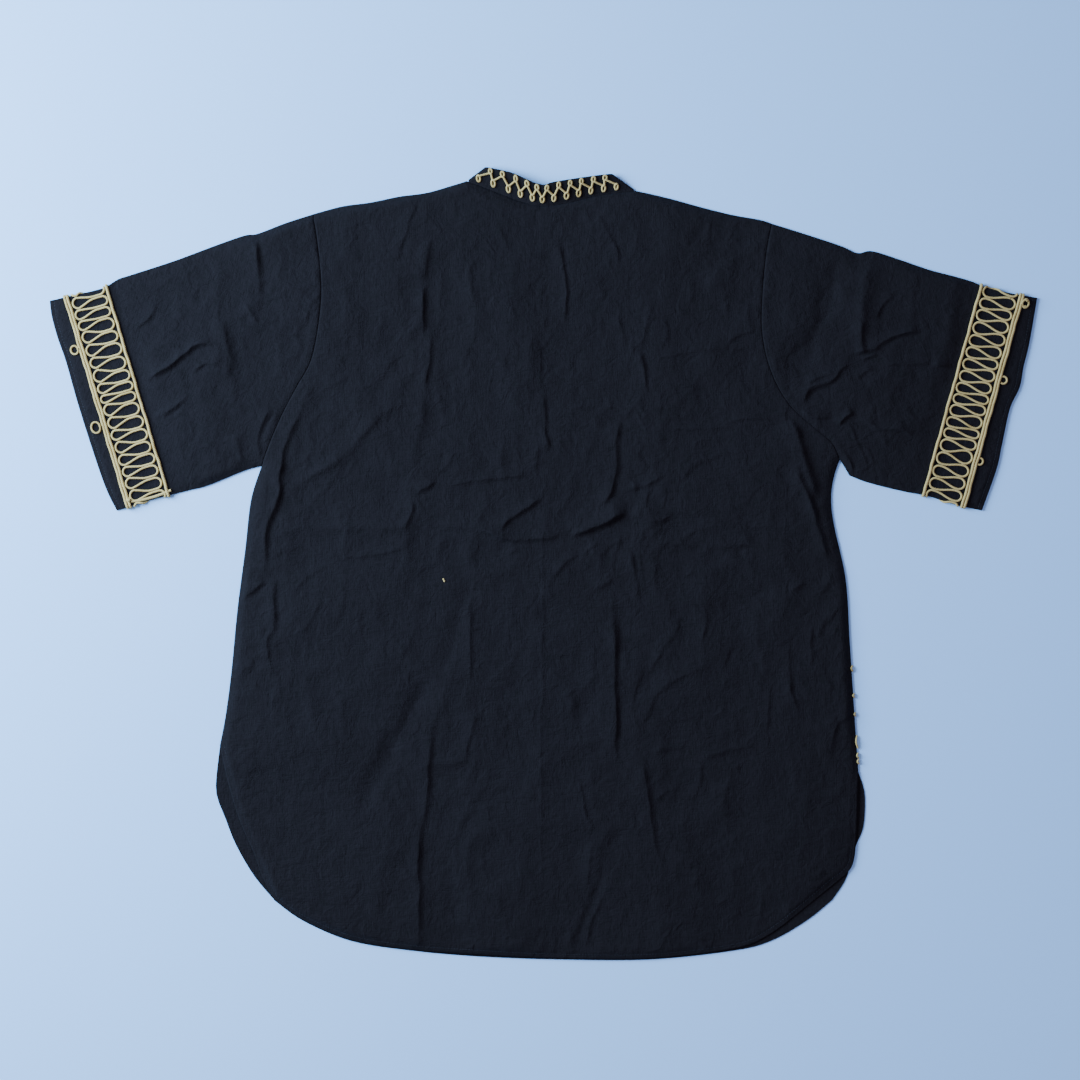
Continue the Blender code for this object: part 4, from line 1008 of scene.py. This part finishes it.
def make_front(cotton):
    """The front, flat on the surface, with its neck, slit and longer tail, lifting a little
    from the surface in creases of its own."""
    slit_left, slit_right = SLIT_X - SLIT_WIDTH / 2, SLIT_X + SLIT_WIDTH / 2
    left_neck = neck_front[neck_front[:, 0] < slit_left]
    right_neck = neck_front[neck_front[:, 0] > slit_right]
    neck_depth = NECK_FRONT[4][1]
    slit = [(slit_right, neck_depth), (slit_right, SLIT_BOTTOM),
            (slit_left, SLIT_BOTTOM), (slit_left, neck_depth)]
    outline = np.vstack([
        joined(front_hem, front_tail_right, shifted(side_right, FRONT_INSET), armhole_right,
               shoulder_right[::-1])[::3],
        right_neck[::-1][1:], slit, left_neck[::-1][:-1],
        joined(shoulder_left[::-1], armhole_left[::-1], shifted(side_left, -FRONT_INSET)[::-1],
               front_tail_left[::-1])[:-2:3]])
    closed = np.vstack([outline, outline[:1]])
    low, high = outline.min(0), outline.max(0)
    field = np.array([(x + (j % 2) * FRONT_CELL / 2, y)
                      for j, y in enumerate(np.arange(low[1], high[1], FRONT_CELL * FRONT_ROW))
                      for x in np.arange(low[0], high[0], FRONT_CELL)])
    field = field[nearest(field, closed)[0] > FRONT_CELL * FRONT_CLEAR]
    places, _, faces = delaunay_2d_cdt(
        [Vector(point) for point in np.vstack([outline, field])], [],
        [list(range(len(outline)))], 1, 1e-4)[:3]
    used = sorted({k for face in faces for k in face})
    order = {k: number for number, k in enumerate(used)}
    plan = np.array([places[k][:] for k in used])
    faces = [tuple(order[k] for k in face) for face in faces]
    beside = NEIGHBOUR * np.array([(0, 0), (1, 0), (-1, 0), (0, 1), (0, -1)])
    room = np.min([upper_height(plan + step) for step in beside], axis=0) - 2 * CLOTH - LAYER_GAP
    lift = np.clip(np.minimum(lower_lift(plan, nearest(plan, closed)[0]), room), 0, None)
    size = len(plan)
    points = np.vstack([np.column_stack([plan, lift + CLOTH]), np.column_stack([plan, lift])])
    edges = {(a, b) for face in faces for a, b in zip(face, face[1:] + face[:1])}
    walls = [(a + size, b + size, b, a) for a, b in edges if (b, a) not in edges]
    under = [tuple(k + size for k in face[::-1]) for face in faces]
    mesh = mesh_of("front_cloth", points, faces + under + walls)
    piece = finish("front_cloth", mesh, cotton, ["front"])
    sharpen(piece)


def make_back(cotton):
    """The back, laid over the front, with its folds and its turned hem."""
    grid = patch(back_hem, joined(shoulder_left, neck_back, shoulder_right),
                 joined(tail_left, side_left, armhole_left),
                 joined(tail_right, side_right, armhole_right))
    flat = gathered(grid.reshape(-1, 2), border(grid)[::4])
    height = upper_height(flat) + hem_form(flat, back_edge)
    for seam in (side_left, side_right, shoulder_left, shoulder_right):
        height -= SEWN_DROP * bell(nearest(flat, seam)[0], SEWN_REACH)
    inside = nearest(flat, back_edge[::3])[0]
    for x, y, reach, rise in CURLS:
        away = np.hypot(flat[:, 0] - x, flat[:, 1] - y)
        height += rise * bell(away, reach) * bell(inside, CURL_DEPTH)
    top = np.column_stack([flat, height]).reshape(*grid.shape[:2], 3)
    mesh = wall("back_cloth", top, plain_under(top, BACK_UNDER_STEP), BACK_UNDER_STEP)
    piece = finish("back_cloth", mesh, cotton, ["back"])


def flat_ring(row, heights, under, inset):
    """One ring of a flattened tube: along its top face, round a soft fold and back under it."""
    top = np.column_stack([row, heights - inset])[1:-1]
    step = SLEEVE_UNDER_STEP
    low = np.column_stack([row, under + inset])[step:-step:step][::-1]
    ends = []
    for edge, beside in ((-1, -2), (0, 1)):
        outward = row[edge] - toward(row[edge], row[beside], 1.0)
        middle = (heights[edge] + under[edge]) / 2
        half = (heights[edge] - under[edge]) / 2 - inset
        turn = np.radians([90, 45, 0, -45, -90])[:, None]
        plan = row[edge] + outward * (-FOLD_ROUND + (FOLD_ROUND - inset) * np.cos(turn))
        ends.append(np.column_stack([plan, middle + half * np.sin(turn)]))
    return np.vstack([top, ends[0], low, ends[1][::-1]])


def make_sleeve(band, cotton):
    """A sleeve, folded along its top edge and closed by the seam along its lower edge. Its
    lower layer lies on its own cord under the band."""
    sleeve = SLEEVES[band.side]
    start = shifted(sleeve.armhole, sleeve.outward * TOUCH)
    if band.side == "right":
        start = np.vstack([[UNDERARM_RIGHT], start])
    start = evenly(start, SLEEVE_COLUMNS)
    grid = patch(start, sleeve.cuff, np.vstack([start[:1], sleeve.seam[1:]]),
                 np.vstack([start[-1:], sleeve.top[1:]]))
    edges = border(grid)[::4]
    flat = gathered(grid.reshape(-1, 2), edges)
    heights = upper_height(flat) + hem_form(flat, sleeve.cuff)
    slack = ease((nearest(flat, sleeve.cuff[::6])[0] - CUFF_FLAT) / CUFF_RAMP)
    lift = np.minimum(lower_lift(flat, nearest(flat, edges)[0]) * slack,
                      heights - 2 * CLOTH - LAYER_GAP)
    band_start, _, inward = band_frame(band)
    unders = np.maximum(UNDER_CORD * on_band((flat - band_start) @ inward), lift)
    rows = [values.reshape(*grid.shape[:2], -1).squeeze() for values in (flat, heights, unders)]
    rings = [np.array([flat_ring(*row, inset) for row in zip(*rows)]) for inset in (0.0, CLOTH)]
    name = "sleeve_%s_cloth" % band.side
    mesh = wall(name, *rings, tube=True)
    piece = finish(name, mesh, cotton, ["sleeve_" + band.side])


def collar_lines(share):
    """The collar's back and front lines at a share of its height."""
    seam_back = shifted(neck_back, TOUCH)
    seam_front = shifted(neck_front, TOUCH)
    edge_back = smooth_line(COLLAR_EDGE_BACK, NECK_COLUMNS)
    edge_front = smooth_line(COLLAR_EDGE_FRONT, FRONT_NECK_COLUMNS)
    for end in (0, -1):
        seam_back[end] = toward(seam_back[end], edge_back[end], COLLAR_END_CLEAR)
        seam_front[end] = seam_back[end]
    return (seam_back + (edge_back - seam_back) * share,
            seam_front + (edge_front - seam_front) * share)


def collar_top(share, along):
    """Height of the collar's back half: its free edge lifts most at the middle."""
    arch = np.sin(math.pi * np.clip(along, 0, 1)) ** COLLAR_ARCH
    lift = COLLAR_END_LIFT + (COLLAR_LIFT - COLLAR_END_LIFT) * arch
    ripple = COLLAR_RIPPLE * np.sin(2 * math.pi * COLLAR_WAVES * along + COLLAR_WAVES_START) * share
    return COLLAR_SEAM_TOP + lift * share + ripple * ease(4 * along) * ease(4 * (1 - along))


def collar_turn(end, front_side, back_side, inset, low, high):
    """The collar's fold from its front half up to its back half, as part of a soft round."""
    outward = end - (front_side + back_side) / 2
    outward /= np.linalg.norm(outward)
    points = []
    for angle in np.radians([-55, -28, 0, 28, 55]):
        share = (math.sin(angle) + 1) / 2
        side = front_side + (back_side - front_side) * share
        reach = math.cos(angle)
        place = side + (end - side) * reach - outward * inset * reach
        points.append((*place, low + (high - low) * share))
    return np.array(points)


def collar_line(share, inset):
    """One line round the neck, from one end at the slit to the other."""
    back, front = collar_lines(share)
    middle = FRONT_NECK_COLUMNS // 2
    skip = 2
    low = COLLAR_UNDER + inset
    front_halves = (np.vstack([[(SLIT_X + SLIT_WIDTH / 2, front[middle, 1])],
                               front[middle + 1:-skip]]),
                    np.vstack([front[skip:middle],
                               [(SLIT_X - SLIT_WIDTH / 2, front[middle, 1])]]))
    right, left = (np.column_stack([half, np.full(len(half), low)]) for half in front_halves)
    along = np.linspace(0, 1, len(back))
    top = np.column_stack([back, collar_top(share, along) - inset])[skip:-skip]
    return np.vstack([
        right, collar_turn(back[-1], front[-1 - skip], back[-1 - skip], inset, low, top[-1, 2]),
        top[::-1], collar_turn(back[0], front[skip], back[skip], inset, low, top[0, 2])[::-1],
        left])


def make_collar(cotton):
    """The stand collar, its back half lifted over its front half, open at centre front."""
    faces = [np.array([collar_line(share, inset) for share in np.linspace(0, 1, COLLAR_ROWS + 1)])
             for inset in (0.0, COLLAR_CLOTH)]
    mesh = wall("collar_cloth", *faces)
    piece = finish("collar_cloth", mesh, cotton, ["collar"])
    sharpen(piece)


# ---- cords and stitches: geometry nodes along a path ----

Path = namedtuple("Path", "points closed")
Trim = namedtuple("Trim", "tree material slot")


def path_tree(name, sizes, lay_along, material, slot):
    """A trim whose node tree takes a path and sizes; lay_along adds the nodes that lay the
    trim along the path."""
    tree = bpy.data.node_groups.new(name, "GeometryNodeTree")
    geometry = "NodeSocketGeometry"
    tree.interface.new_socket("Path", in_out="INPUT", socket_type=geometry)
    for size in sizes:
        tree.interface.new_socket(size, in_out="INPUT", socket_type="NodeSocketFloat")
    tree.interface.new_socket("Trim", in_out="OUTPUT", socket_type=geometry)
    laid = lay_along(tree, add(tree, "NodeGroupInput").outputs)
    whole = add(tree, "GeometryNodeRealizeInstances", {"Geometry": laid}).outputs[0]
    dressed = add(tree, "GeometryNodeSetMaterial", {"Geometry": whole, "Material": material})
    add(tree, "NodeGroupOutput", {0: dressed.outputs[0]})
    return Trim(tree, material, slot)


def twist_cord(tree, given):
    """Sweep a lobed section, one lobe to a strand, that turns as it goes along the path."""
    path = add(tree, "GeometryNodeResampleCurve",
               {"Curve": given["Path"], "Length": given["Step"]}, mode="LENGTH").outputs[0]
    walked = add(tree, "GeometryNodeSplineParameter").outputs["Length"]
    share = add(tree, "GeometryNodeSplineParameter").outputs["Factor"]
    worked = []
    for value, sums in (
            (walked, (("DIVIDE", given["Lay length"]), ("MULTIPLY", 2 * math.pi))),
            (given["Cord width"], (("MULTIPLY", 0.5),)),
            (share, (("MULTIPLY", 2 * math.pi * CORD_STRANDS), ("COSINE", 0.0),
                     ("MULTIPLY", given["Strand share"]), ("ADD", 1.0)))):
        for operation, other in sums:
            value = add(tree, "ShaderNodeMath", {0: value, 1: other},
                        operation=operation).outputs[0]
        worked.append(value)
    tilt, radius, lobes = worked
    twisted = add(tree, "GeometryNodeSetCurveTilt", {"Curve": path, "Tilt": tilt}).outputs[0]
    circle = add(tree, "GeometryNodeCurvePrimitiveCircle",
                 {"Resolution": CORD_SIDES, "Radius": radius}).outputs[0]
    where = add(tree, "GeometryNodeInputPosition").outputs[0]
    lobed = add(tree, "ShaderNodeVectorMath", {0: where, "Scale": lobes},
                operation="SCALE").outputs[0]
    section = add(tree, "GeometryNodeSetPosition",
                  {"Geometry": circle, "Position": lobed}).outputs[0]
    return add(tree, "GeometryNodeCurveToMesh", {"Curve": twisted, "Profile Curve": section,
                                                 "Fill Caps": True}).outputs[0]


def run_stitches(tree, given):
    """Lay short stitches end to end along the path."""
    points = add(tree, "GeometryNodeCurveToPoints",
                 {"Curve": given["Path"], "Length": given["Stitch length"]}, mode="LENGTH").outputs
    turned = add(tree, "FunctionNodeAlignRotationToVector", {"Vector": points["Tangent"]},
                 axis="Z").outputs[0]
    long = add(tree, "ShaderNodeMath", {0: given["Stitch length"], 1: given["Stitch share"]},
               operation="MULTIPLY").outputs[0]
    thread = add(tree, "GeometryNodeMeshUVSphere", {"Segments": 6, "Rings": 4, "Radius": 0.5})
    shape = add(tree, "ShaderNodeCombineXYZ", {"X": given["Thread width"],
                                               "Y": given["Thread width"], "Z": long})
    return add(tree, "GeometryNodeInstanceOnPoints", {
        "Points": points["Points"], "Instance": thread.outputs[0], "Rotation": turned,
        "Scale": shape.outputs[0]}).outputs[0]


def along_paths(name, paths, trim, sizes, replaced):
    """Run a trim's node tree along one or more paths and keep the result as a plain mesh
    piece. What would sink into the surface below is pressed flat on it."""
    curve = bpy.data.curves.new(name, "CURVE")
    curve.dimensions = "3D"
    curve.twist_mode = "Z_UP"
    for path in paths:
        spline = curve.splines.new("POLY")
        spline.points.add(len(path.points) - 1)
        for place, point in zip(spline.points, path.points):
            place.co = (*(np.asarray(point) * MM), 1.0)
        spline.use_cyclic_u = path.closed
    guide = placed(name + "_guide", curve)
    modifier = guide.modifiers.new("sewn", "NODES")
    modifier.node_group = trim.tree
    for item in trim.tree.interface.items_tree:
        if item.in_out == "INPUT" and item.name in sizes:
            modifier[item.identifier] = sizes[item.name] * (1.0 if "share" in item.name else MM)
    bpy.context.view_layer.update()
    shown = guide.evaluated_get(bpy.context.evaluated_depsgraph_get())
    mesh = bpy.data.meshes.new_from_object(shown)
    bpy.data.objects.remove(guide)
    mesh.name = name
    places = np.empty(3 * len(mesh.vertices))
    mesh.vertices.foreach_get("co", places)
    places[2::3] = np.maximum(places[2::3], PRESSED * MM)
    mesh.vertices.foreach_set("co", places)
    finish(name, mesh, trim.material, replaced)


def couch(name, paths, trim, cord, replaced):
    """Lay a cord along its paths."""
    sizes = {"Cord width": cord.width, "Lay length": cord.lay, "Strand share": STRAND_SHARE,
             "Step": cord.step}
    along_paths(name, paths, trim, sizes, replaced)


# ---- the couched cords ----

def cuff_edges(band, depth):
    """How far along the band the sleeve's top fold and its underarm seam lie, at a depth."""
    start, direction, inward = band_frame(band)
    sleeve = SLEEVES[band.side]
    result = []
    for line in (sleeve.top, sleeve.seam):
        local = (line - start) @ np.stack([inward, direction], axis=1)
        order = np.argsort(local[:, 0])
        result.append(np.interp(depth, local[order, 0], local[order, 1]))
    return result


def girth(band, depth):
    """Length once round the flattened sleeve at a depth, over the cloth's outer face."""
    fold, seam = cuff_edges(band, depth)
    return 2 * (seam - fold - 2 * FOLD_ROUND + math.pi * FOLD_ROUND)


def round_the_sleeve(band, walk, depth, width):
    """Points for a cord of a width round the flattened sleeve, over its top, round the seam
    side, under it and round the fold: walk is the distance round it from its top fold."""
    start, direction, inward = band_frame(band)
    half = FOLD_ROUND
    fold, seam = cuff_edges(band, depth)
    across = seam - fold - 2 * half
    arc = math.pi * half
    walk = walk % (2 * (across + arc))
    over = walk < across
    parts = [over, walk < across + arc, walk < 2 * across + arc]
    turn = np.select(parts, [0.0, (walk - across) / half, math.pi],
                     math.pi + (walk - 2 * across - arc) / half)
    along = np.select(parts, [fold + half + walk, seam - half + half * np.sin(turn),
                              seam - half - (walk - across - arc)],
                      fold + half + half * np.sin(turn))
    plan = start + along[:, None] * direction + depth[:, None] * inward
    height = np.where(over, upper_height(plan), UNDER_CORD + half * (1 + np.cos(turn)))
    lift = LAID * width * (1 + FLATTENED * np.minimum(np.cos(turn), 0.0))
    plan = plan + (lift * np.sin(turn))[:, None] * direction
    return np.column_stack([plan, height + lift * np.cos(turn)])


def closing_joins(joins, whole, random):
    """The joins given for the side on top, carried on evenly round the side underneath."""
    rest = joins[0] + whole - joins[-1]
    count = round(rest / MEANDER_PERIOD)
    more = (joins[-1] + rest * np.arange(1, count) / count
            + random.uniform(-JOIN_STRAYS, JOIN_STRAYS, count - 1))
    return np.concatenate([joins, more])


def meander(band):
    """The meander between the rails, all round the sleeve: bulbs that lie side by side at
    either rail, each as wide as its own two joins allow."""
    random = np.random.RandomState(band.seed)
    middle = BAND_WIDTH / 2
    whole = girth(band, middle)
    seam = cuff_edges(band, middle)[1]
    outer = closing_joins(band.outer_joins, whole, random)
    halfway = (outer + np.append(outer[1:], outer[0] + whole)) / 2
    inner = halfway + random.uniform(-INNER_STRAYS, INNER_STRAYS, len(outer))
    inner[:len(band.inner_joins)] = band.inner_joins
    count = len(outer)
    gaps = MEANDER.width / 2 * random.uniform(*GAP_SHARES, (2, count + 1))
    gaps[:, -1] = gaps[:, 0]
    outer = np.append(outer, outer[0] + whole)
    inner = np.append(inner, inner[0] + whole)
    low = 2 * RAIL_OUTER.width + MEANDER.width / 2 + RAIL_CLEAR
    high = BAND_WIDTH - RAIL_INNER.width - MEANDER.width / 2 - RAIL_CLEAR
    walked, depths = [], []

    def bulb(left, right, rim, inwards):
        """The round end of one bulb, against the rail at a depth; it gives its other depth."""
        radius = (right - left) / 2
        for angle in np.linspace(0, math.pi, BULB_POINTS):
            walked.append((left + right) / 2 - radius * math.cos(angle))
            depths.append(rim + inwards * radius * BULB_LONG * (1 - math.sin(angle)))
        return rim + inwards * radius * BULB_LONG

    def leg(start, end, start_depth, end_depth):
        """One leg from bulb to bulb across the band: straight, over, straight."""
        for share in np.linspace(0, 1, LEG_POINTS)[1:-1]:
            depth = start_depth + (end_depth - start_depth) * share
            place = (depth - low) / (high - low)
            over = ease((place - band.legs[0]) / (band.legs[1] - band.legs[0]))
            if start_depth > end_depth:
                over = 1 - over
            walked.append(start + (end - start) * over)
            depths.append(depth)

    for k in range(count):
        rim = low + random.uniform(0, RIM_STRAYS)
        far = high - random.uniform(0, RIM_STRAYS)
        left, right = outer[k] + gaps[0, k], outer[k + 1] - gaps[0, k + 1]
        shoulder = bulb(left, right, rim, 1)
        inner_left, inner_right = inner[k] + gaps[1, k], inner[k + 1] - gaps[1, k + 1]
        inner_shoulder = far - (inner_right - inner_left) / 2 * BULB_LONG
        leg(right, inner_left, shoulder, inner_shoulder)
        bulb(inner_left, inner_right, far, -1)
        leg(inner_right, outer[k + 1] + gaps[0, k + 1], inner_shoulder, shoulder)
    walked = np.array(walked)
    depths = np.array(depths)
    start = outer[0] + gaps[0, 0]
    under = np.clip((walked - seam) / (start + whole - seam), 0, None)
    walk = walked - cuff_edges(band, depths)[0] - FOLD_ROUND + (girth(band, depths) - whole) * under
    return Path(round_the_sleeve(band, walk, depths, MEANDER.width), True)


def rail(band, depth, width):
    """One nearly straight cord all round the sleeve at a depth from the band's outer edge."""
    whole = girth(band, depth)
    walk = np.arange(RAIL_POINTS) / RAIL_POINTS * whole
    random = np.random.RandomState(band.seed + round(10 * depth))
    depths = np.full(RAIL_POINTS, float(depth))
    for waves, size in RAIL_WAVES:
        depths += size * np.sin(2 * math.pi * (waves * walk / whole + random.uniform()))
    return Path(round_the_sleeve(band, walk, depths, width), True)


def laid_on(plan, lift):
    """An open path over the upper layer, lifted off it."""
    plan = np.asarray(plan, float)
    return Path(np.column_stack([plan, upper_height(plan) + lift]), False)


def small_loop(band, loop):
    """One small loop outside the outer rail; past a full turn it coils inwards on itself."""
    start, direction, inward = band_frame(band)
    angle = np.linspace(-loop.sweep, loop.sweep, LOOP_POINTS)
    coil = 1 - LOOP_COIL * np.clip(np.abs(angle) - 180, 0, None) / 180
    turn = np.radians(angle)
    along = loop.along + (loop.long - LOOP.width) / 2 * coil * np.sin(turn)
    out = loop.out + (loop.wide - LOOP.width) / 2 * coil * np.cos(turn)
    crossing = ease((angle - LOOP_CROSSING[0]) / (LOOP_CROSSING[1] - LOOP_CROSSING[0]))
    return laid_on(start + along[:, None] * direction - out[:, None] * inward,
                   LOOP.width * (LOOP_LAID + LOOP_STACKED * crossing))


def small_knot(knot):
    """A small knot: a cord that winds round and over itself."""
    share = np.linspace(0, 1, KNOT_POINTS)
    angle = 2 * math.pi * knot.turns * share
    reach = knot.size * (0.55 + 0.45 * np.cos(KNOT_WANDER * share))
    return Path(np.column_stack([knot.x + reach * np.cos(angle), knot.y + reach * np.sin(angle),
                                 knot.bottom + KNOT_RISE * knot.size * share]), False)


def make_band(band, cord):
    """The couched cords of one cuff."""
    side = band.side
    outer = [rail(band, RAIL_OUTER.width * place, RAIL_OUTER.width) for place in (0.5, 1.5)]
    if side == "left":
        outer += [small_knot(CORD_KNOT), laid_on(CORD_TAIL, CORD_TAIL_LIFT)]
    inner = rail(band, BAND_WIDTH - RAIL_INNER.width / 2, RAIL_INNER.width)
    for part, paths, size in (("meander", [meander(band)], MEANDER),
                              ("rail_outer", outer, RAIL_OUTER),
                              ("rail_inner", [inner], RAIL_INNER)):
        couch("cuff_%s_%s_cord" % (part, side), paths, cord, size, ["cuff_%s_%s" % (part, side)])
    for number, loop in enumerate(band.loops, 1):
        couch("cuff_loop_%s_%d_cord" % (side, number), [small_loop(band, loop)], cord, LOOP,
              ["cuff_loop_%s_%d" % (side, number)])


def collar_place(along, share, lift):
    """Points over the collar's back half, by shares along it and up it."""
    where = np.arange(NECK_COLUMNS + 1) / NECK_COLUMNS
    low, high = (np.column_stack([np.interp(along, where, values) for values in line.T])
                 for line in (collar_lines(0.0)[0], collar_lines(1.0)[0]))
    plan = low + (high - low) * share[:, None]
    upward = np.column_stack([high - low, collar_top(1.0, along) - collar_top(0.0, along)])
    normal = np.cross([1.0, 0.0, 0.0], upward)
    normal /= np.linalg.norm(normal, axis=1)[:, None]
    return np.column_stack([plan, collar_top(share, along)]) + normal * lift[:, None]


def make_collar_cord(cord):
    """A zigzag of cord round the collar that closes in a small eye at each turn."""
    random = np.random.RandomState(5)
    lower_line, upper_line = collar_lines(0.0)[0], collar_lines(1.0)[0]
    where = np.linspace(0, 1, NECK_COLUMNS + 1)
    across, share, lift = [], [], []
    for x, eye, sign in sorted([(x, LOWER, -1) for x in LOWER_EYES]
                               + [(x, UPPER, 1) for x in UPPER_EYES]):
        wide = eye.wide * random.uniform(*EYE_WIDTHS)
        tall = eye.tall * random.uniform(*EYE_HEIGHTS)
        for angle in np.radians(np.linspace(-EYE_SWEEP, EYE_SWEEP, EYE_POINTS)):
            over = ease(np.degrees(angle) / EYE_SWEEP - EYE_CROSSING)
            across.append(x - wide * math.sin(angle))
            share.append(eye.share + sign * tall * math.cos(angle) / COLLAR_BAND)
            lift.append(COLLAR_CORD.width * (LAID + EYE_STACKED * over))
    share = np.array(share)
    along = [np.interp(x, lower_line[:, 0] + (upper_line[:, 0] - lower_line[:, 0]) * s, where)
             for x, s in zip(across, share)]
    path = Path(collar_place(np.array(along), share, np.array(lift)), False)
    couch("collar_zigzag_cord", [path], cord, COLLAR_CORD, ["collar_cord"])


def make_stray_bits(cord):
    """Ends of cord that bow out past the right side seam, and lint on the back."""
    paths = []
    for y, long in SIDE_CORD_ENDS:
        share = np.linspace(-0.5, 0.5, 9)
        edge = np.interp(y + long * share, side_right[:, 1], side_right[:, 0])
        over = END_BOW * np.cos(math.pi * share)
        paths.append(Path(np.column_stack([edge + END_OUT - over, y + long * share,
                                           END_HEIGHT + over]), False))
    for x, y, angle in LINT:
        run = np.outer(np.linspace(-LINT_HALF, LINT_HALF, 5), [math.cos(angle), math.sin(angle)])
        bent = np.outer([0.4, 0.0, -0.3, 0.0, 0.4], [1, -1])
        paths.append(laid_on([x, y] + run + bent, LINT_LIFT))
    couch("stray_cord_ends", paths, cord, CORD_END, None)


def make_stitches(thread):
    """The hems' stitching, sunk in its groove: round the tails and the back's hem, and round
    both cuffs."""
    paths = []
    for edge, sign, count, part in ((back_edge, 1, 600, slice(None)),
                                    (cuff_left, -1, 160, slice(2, -2)),
                                    (cuff_right, 1, 160, slice(2, -2))):
        line = evenly(shifted(edge, sign * HEM), count)[part]
        paths.append(laid_on(line, hem_form(line, edge) + STITCH_LIFT))
    along_paths("back_hem_stitches", paths[:1], thread, STITCH, None)
    along_paths("cuff_hem_stitches", paths[1:], thread, STITCH, None)


# ---- camera, light and floor ----

def make_stage():
    """A pale floor, one low soft light to the left, a weak fill, and the camera overhead."""
    mesh = bpy.data.meshes.new("floor")
    mesh.from_pydata([(x * FLOOR_HALF, y * FLOOR_HALF, -FLOOR_BELOW)
                      for x, y in ((-1, -1), (1, -1), (1, 1), (-1, 1))], [], [(0, 1, 2, 3)])
    mesh.materials.append(floor_paint())
    floor = placed("floor", mesh)

    for lamp in LAMPS:
        light = bpy.data.lights.new(lamp.name, "AREA")
        light.shape = "SQUARE"
        light.size = lamp.size
        light.energy = lamp.power
        light.color = linear(lamp.colour)[:3]
        item = placed(lamp.name, light)
        item.location = lamp.place
        item.rotation_euler = (-Vector(lamp.place)).to_track_quat("-Z", "Y").to_euler()

    world = bpy.data.worlds.new("soft_room")
    bpy.context.scene.world = world
    world.use_nodes = True
    plug(world.node_tree, world.node_tree.nodes["Background"],
         {"Color": linear(ROOM_COLOUR), "Strength": ROOM_STRENGTH})

    camera = bpy.data.cameras.new("overhead")
    camera.sensor_width = 36.0
    camera.sensor_fit = "HORIZONTAL"
    camera.lens = camera.sensor_width * CAMERA_HEIGHT / VIEW_WIDTH
    eye = placed("overhead", camera)
    eye.location = (*CAMERA_PLACE, CAMERA_HEIGHT)
    bpy.context.scene.camera = eye


# ---- the shirt ----

body_cotton = black_cotton("black_plain_weave_cotton", 0.0)
left_cotton = black_cotton("black_plain_weave_cotton_left_sleeve", math.radians(17))
right_cotton = black_cotton("black_plain_weave_cotton_right_sleeve", math.radians(-15))
twisted_cord = path_tree("twisted_cord", ("Cord width", "Lay length", "Strand share", "Step"),
                         twist_cord, cream_cord(), "cream_cord")
running_stitch = path_tree("running_stitch", STITCH, run_stitches, black_thread(), "black_cotton")

make_stage()
make_front(body_cotton)
make_back(body_cotton)
for cuff_band, sleeve_cotton in zip(BANDS, (left_cotton, right_cotton)):
    make_sleeve(cuff_band, sleeve_cotton)
make_collar(body_cotton)
for cuff_band in BANDS:
    make_band(cuff_band, twisted_cord)
make_collar_cord(twisted_cord)
make_stray_bits(twisted_cord)
make_stitches(running_stitch)
